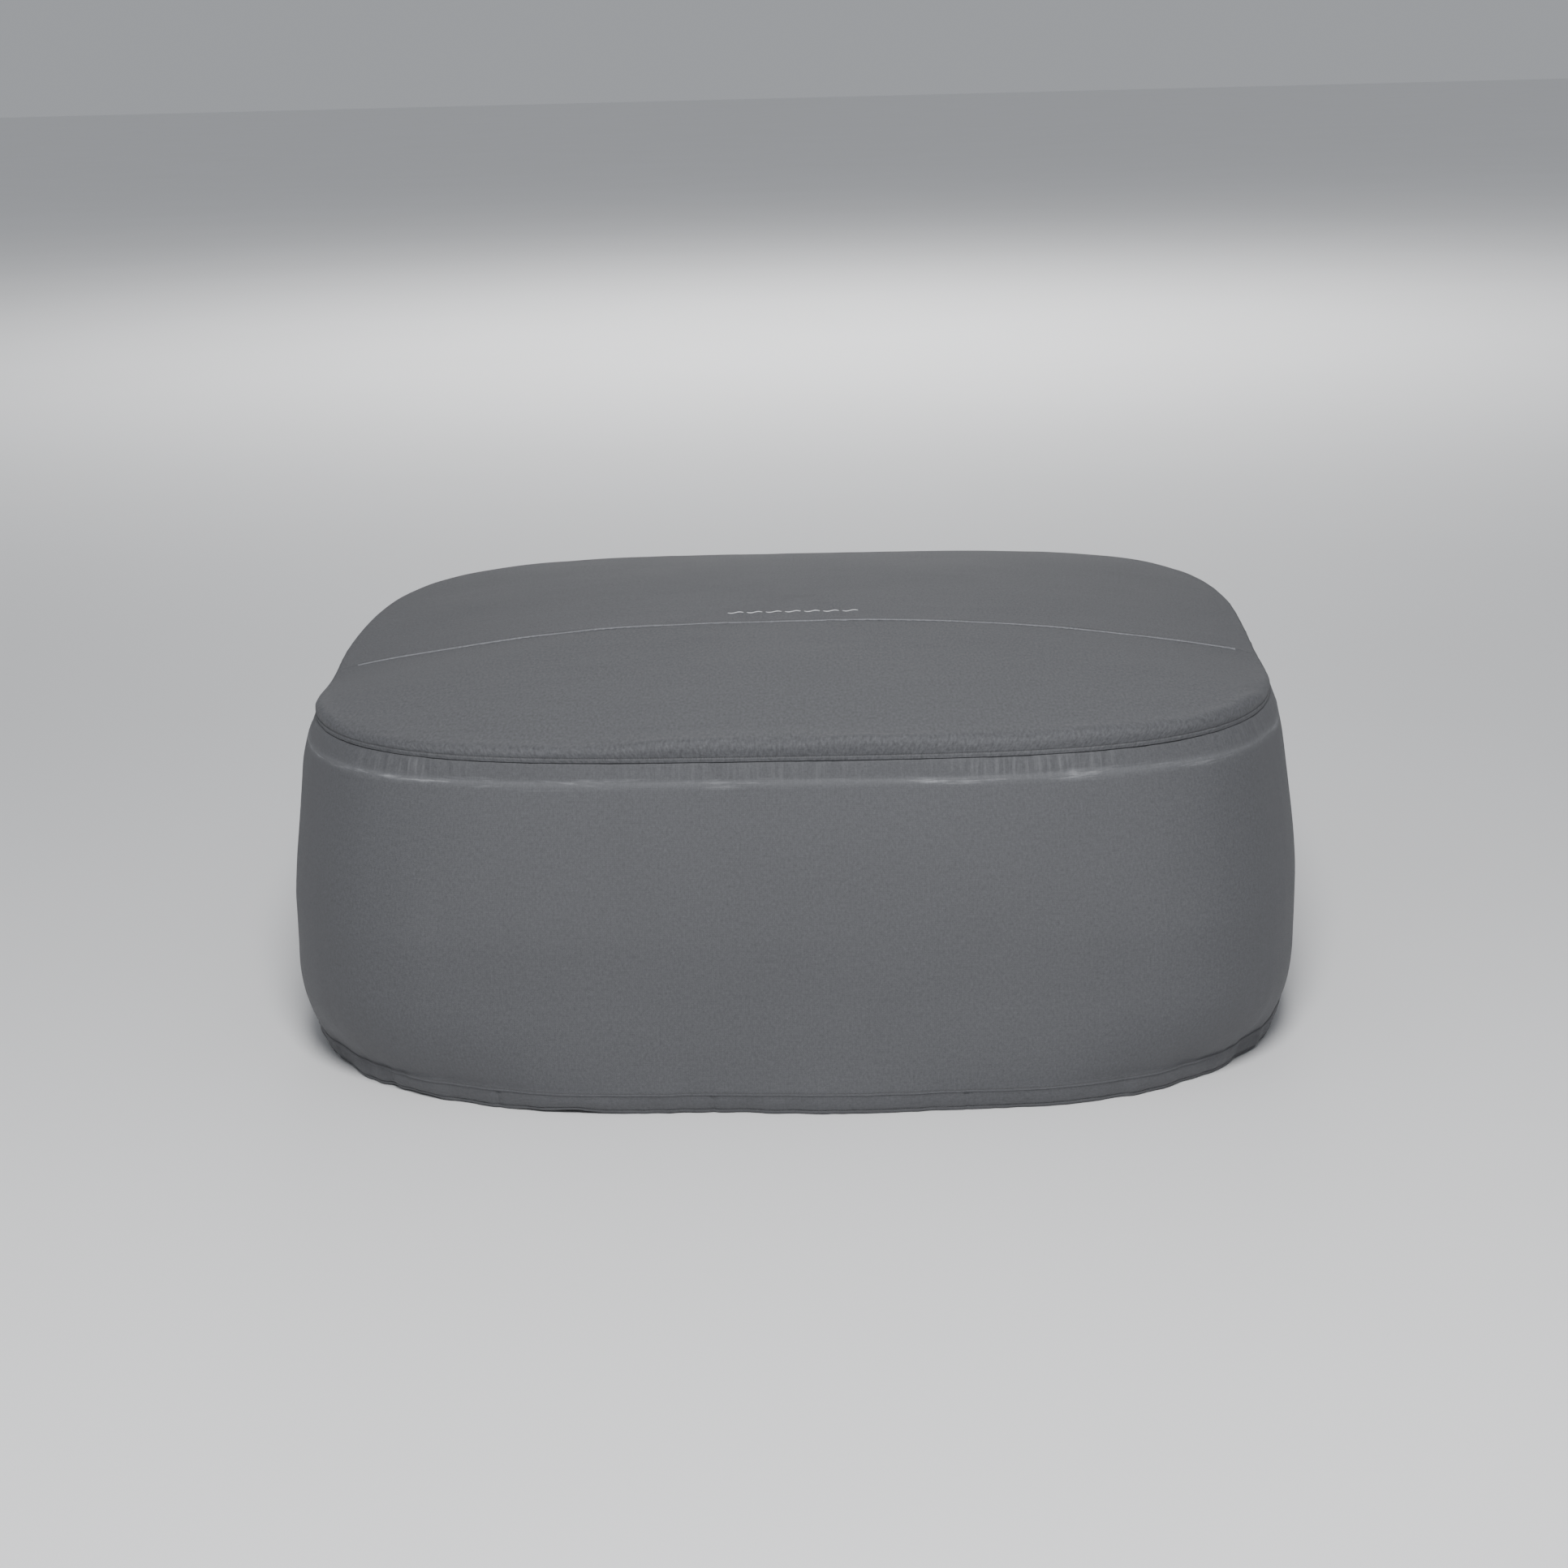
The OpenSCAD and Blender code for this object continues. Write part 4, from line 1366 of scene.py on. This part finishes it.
def area_of(piece):
    depsgraph = bpy.context.evaluated_depsgraph_get()
    mesh = piece.evaluated_get(depsgraph).to_mesh()
    total = sum(face.area for face in mesh.polygons)
    piece.evaluated_get(depsgraph).to_mesh_clear()
    return total / 2


def rounded_cut(half, low, high):
    """Flat area of a panel with the seam's plan, between two lines across it."""
    y = np.linspace(low, high, 400)
    wide = 2 * half * np.clip(1 - np.abs(y / half) ** seam_square, 0, 1) ** (1 / seam_square)
    return float(wide.mean() * (high - low))


def cut_from(piece, flat, area=None):
    print(f"{piece.name}: {area_of(piece):.3f} m2 of cloth, cut to {area or flat[0] * flat[1]:.3f} m2")


def flap_cut(node, turned_in):
    low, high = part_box(node)
    return high.x - low.x + 2 * turned_in, high.z - low.z + 2 * turned_in


round_wall_m = float(length_at(turn))
wrap_m = float(length_at(rear + turn - panel_split) - length_at(rear + panel_split))
rear_m = round_wall_m - wrap_m
skirt_m = skirt_high - skirt_low
lining_m = board_high - skirt_low
hem_m = float(length_at(hem_end) - length_at(hem_start))
opening_area = (round_wall_m - hem_m) * (cut_top - skirt_low)
wrap_cut = (wrap_m + 2 * seam_turned_in, skirt_m + 2 * seam_turned_in)
rear_cut = (rear_m + 2 * seam_turned_in, skirt_m + 2 * seam_turned_in)
cut_from(skirt_wrap, wrap_cut)
cut_from(
    skirt_rear, rear_cut,
    rear_cut[0] * rear_cut[1] - opening_area,
)
top_half = seam_half + float(band_height(-math.pi / 2)) + seam_turned_in
front_edge, rear_edge = cross_seam_high.y, cross_seam_low.y
cut_from(
    top_front, (2 * top_half, top_half + front_edge),
    rounded_cut(top_half, -top_half, front_edge),
)
cut_from(
    top_rear, (2 * top_half, top_half - rear_edge),
    rounded_cut(top_half, rear_edge, top_half),
)
lining_half = seam_half + seam_turned_in
cut_from(
    lining_top, (2 * lining_half, 2 * lining_half),
    rounded_cut(lining_half, -lining_half, lining_half),
)
cut_from(lining_wrap, (wrap_m, lining_m))
cut_from(
    lining_rear, (rear_m, lining_m),
    rear_m * lining_m - opening_area,
)
cut_from(
    hem, (hem_m * hem_fullness, float(hem_run[-1]) + seam_turned_in),
)
cut_from(
    flap_skin, flap_cut("flap_panel", seam_turned_in),
)
cut_from(flap_foil, flap_cut("flap_lining", 0.0))
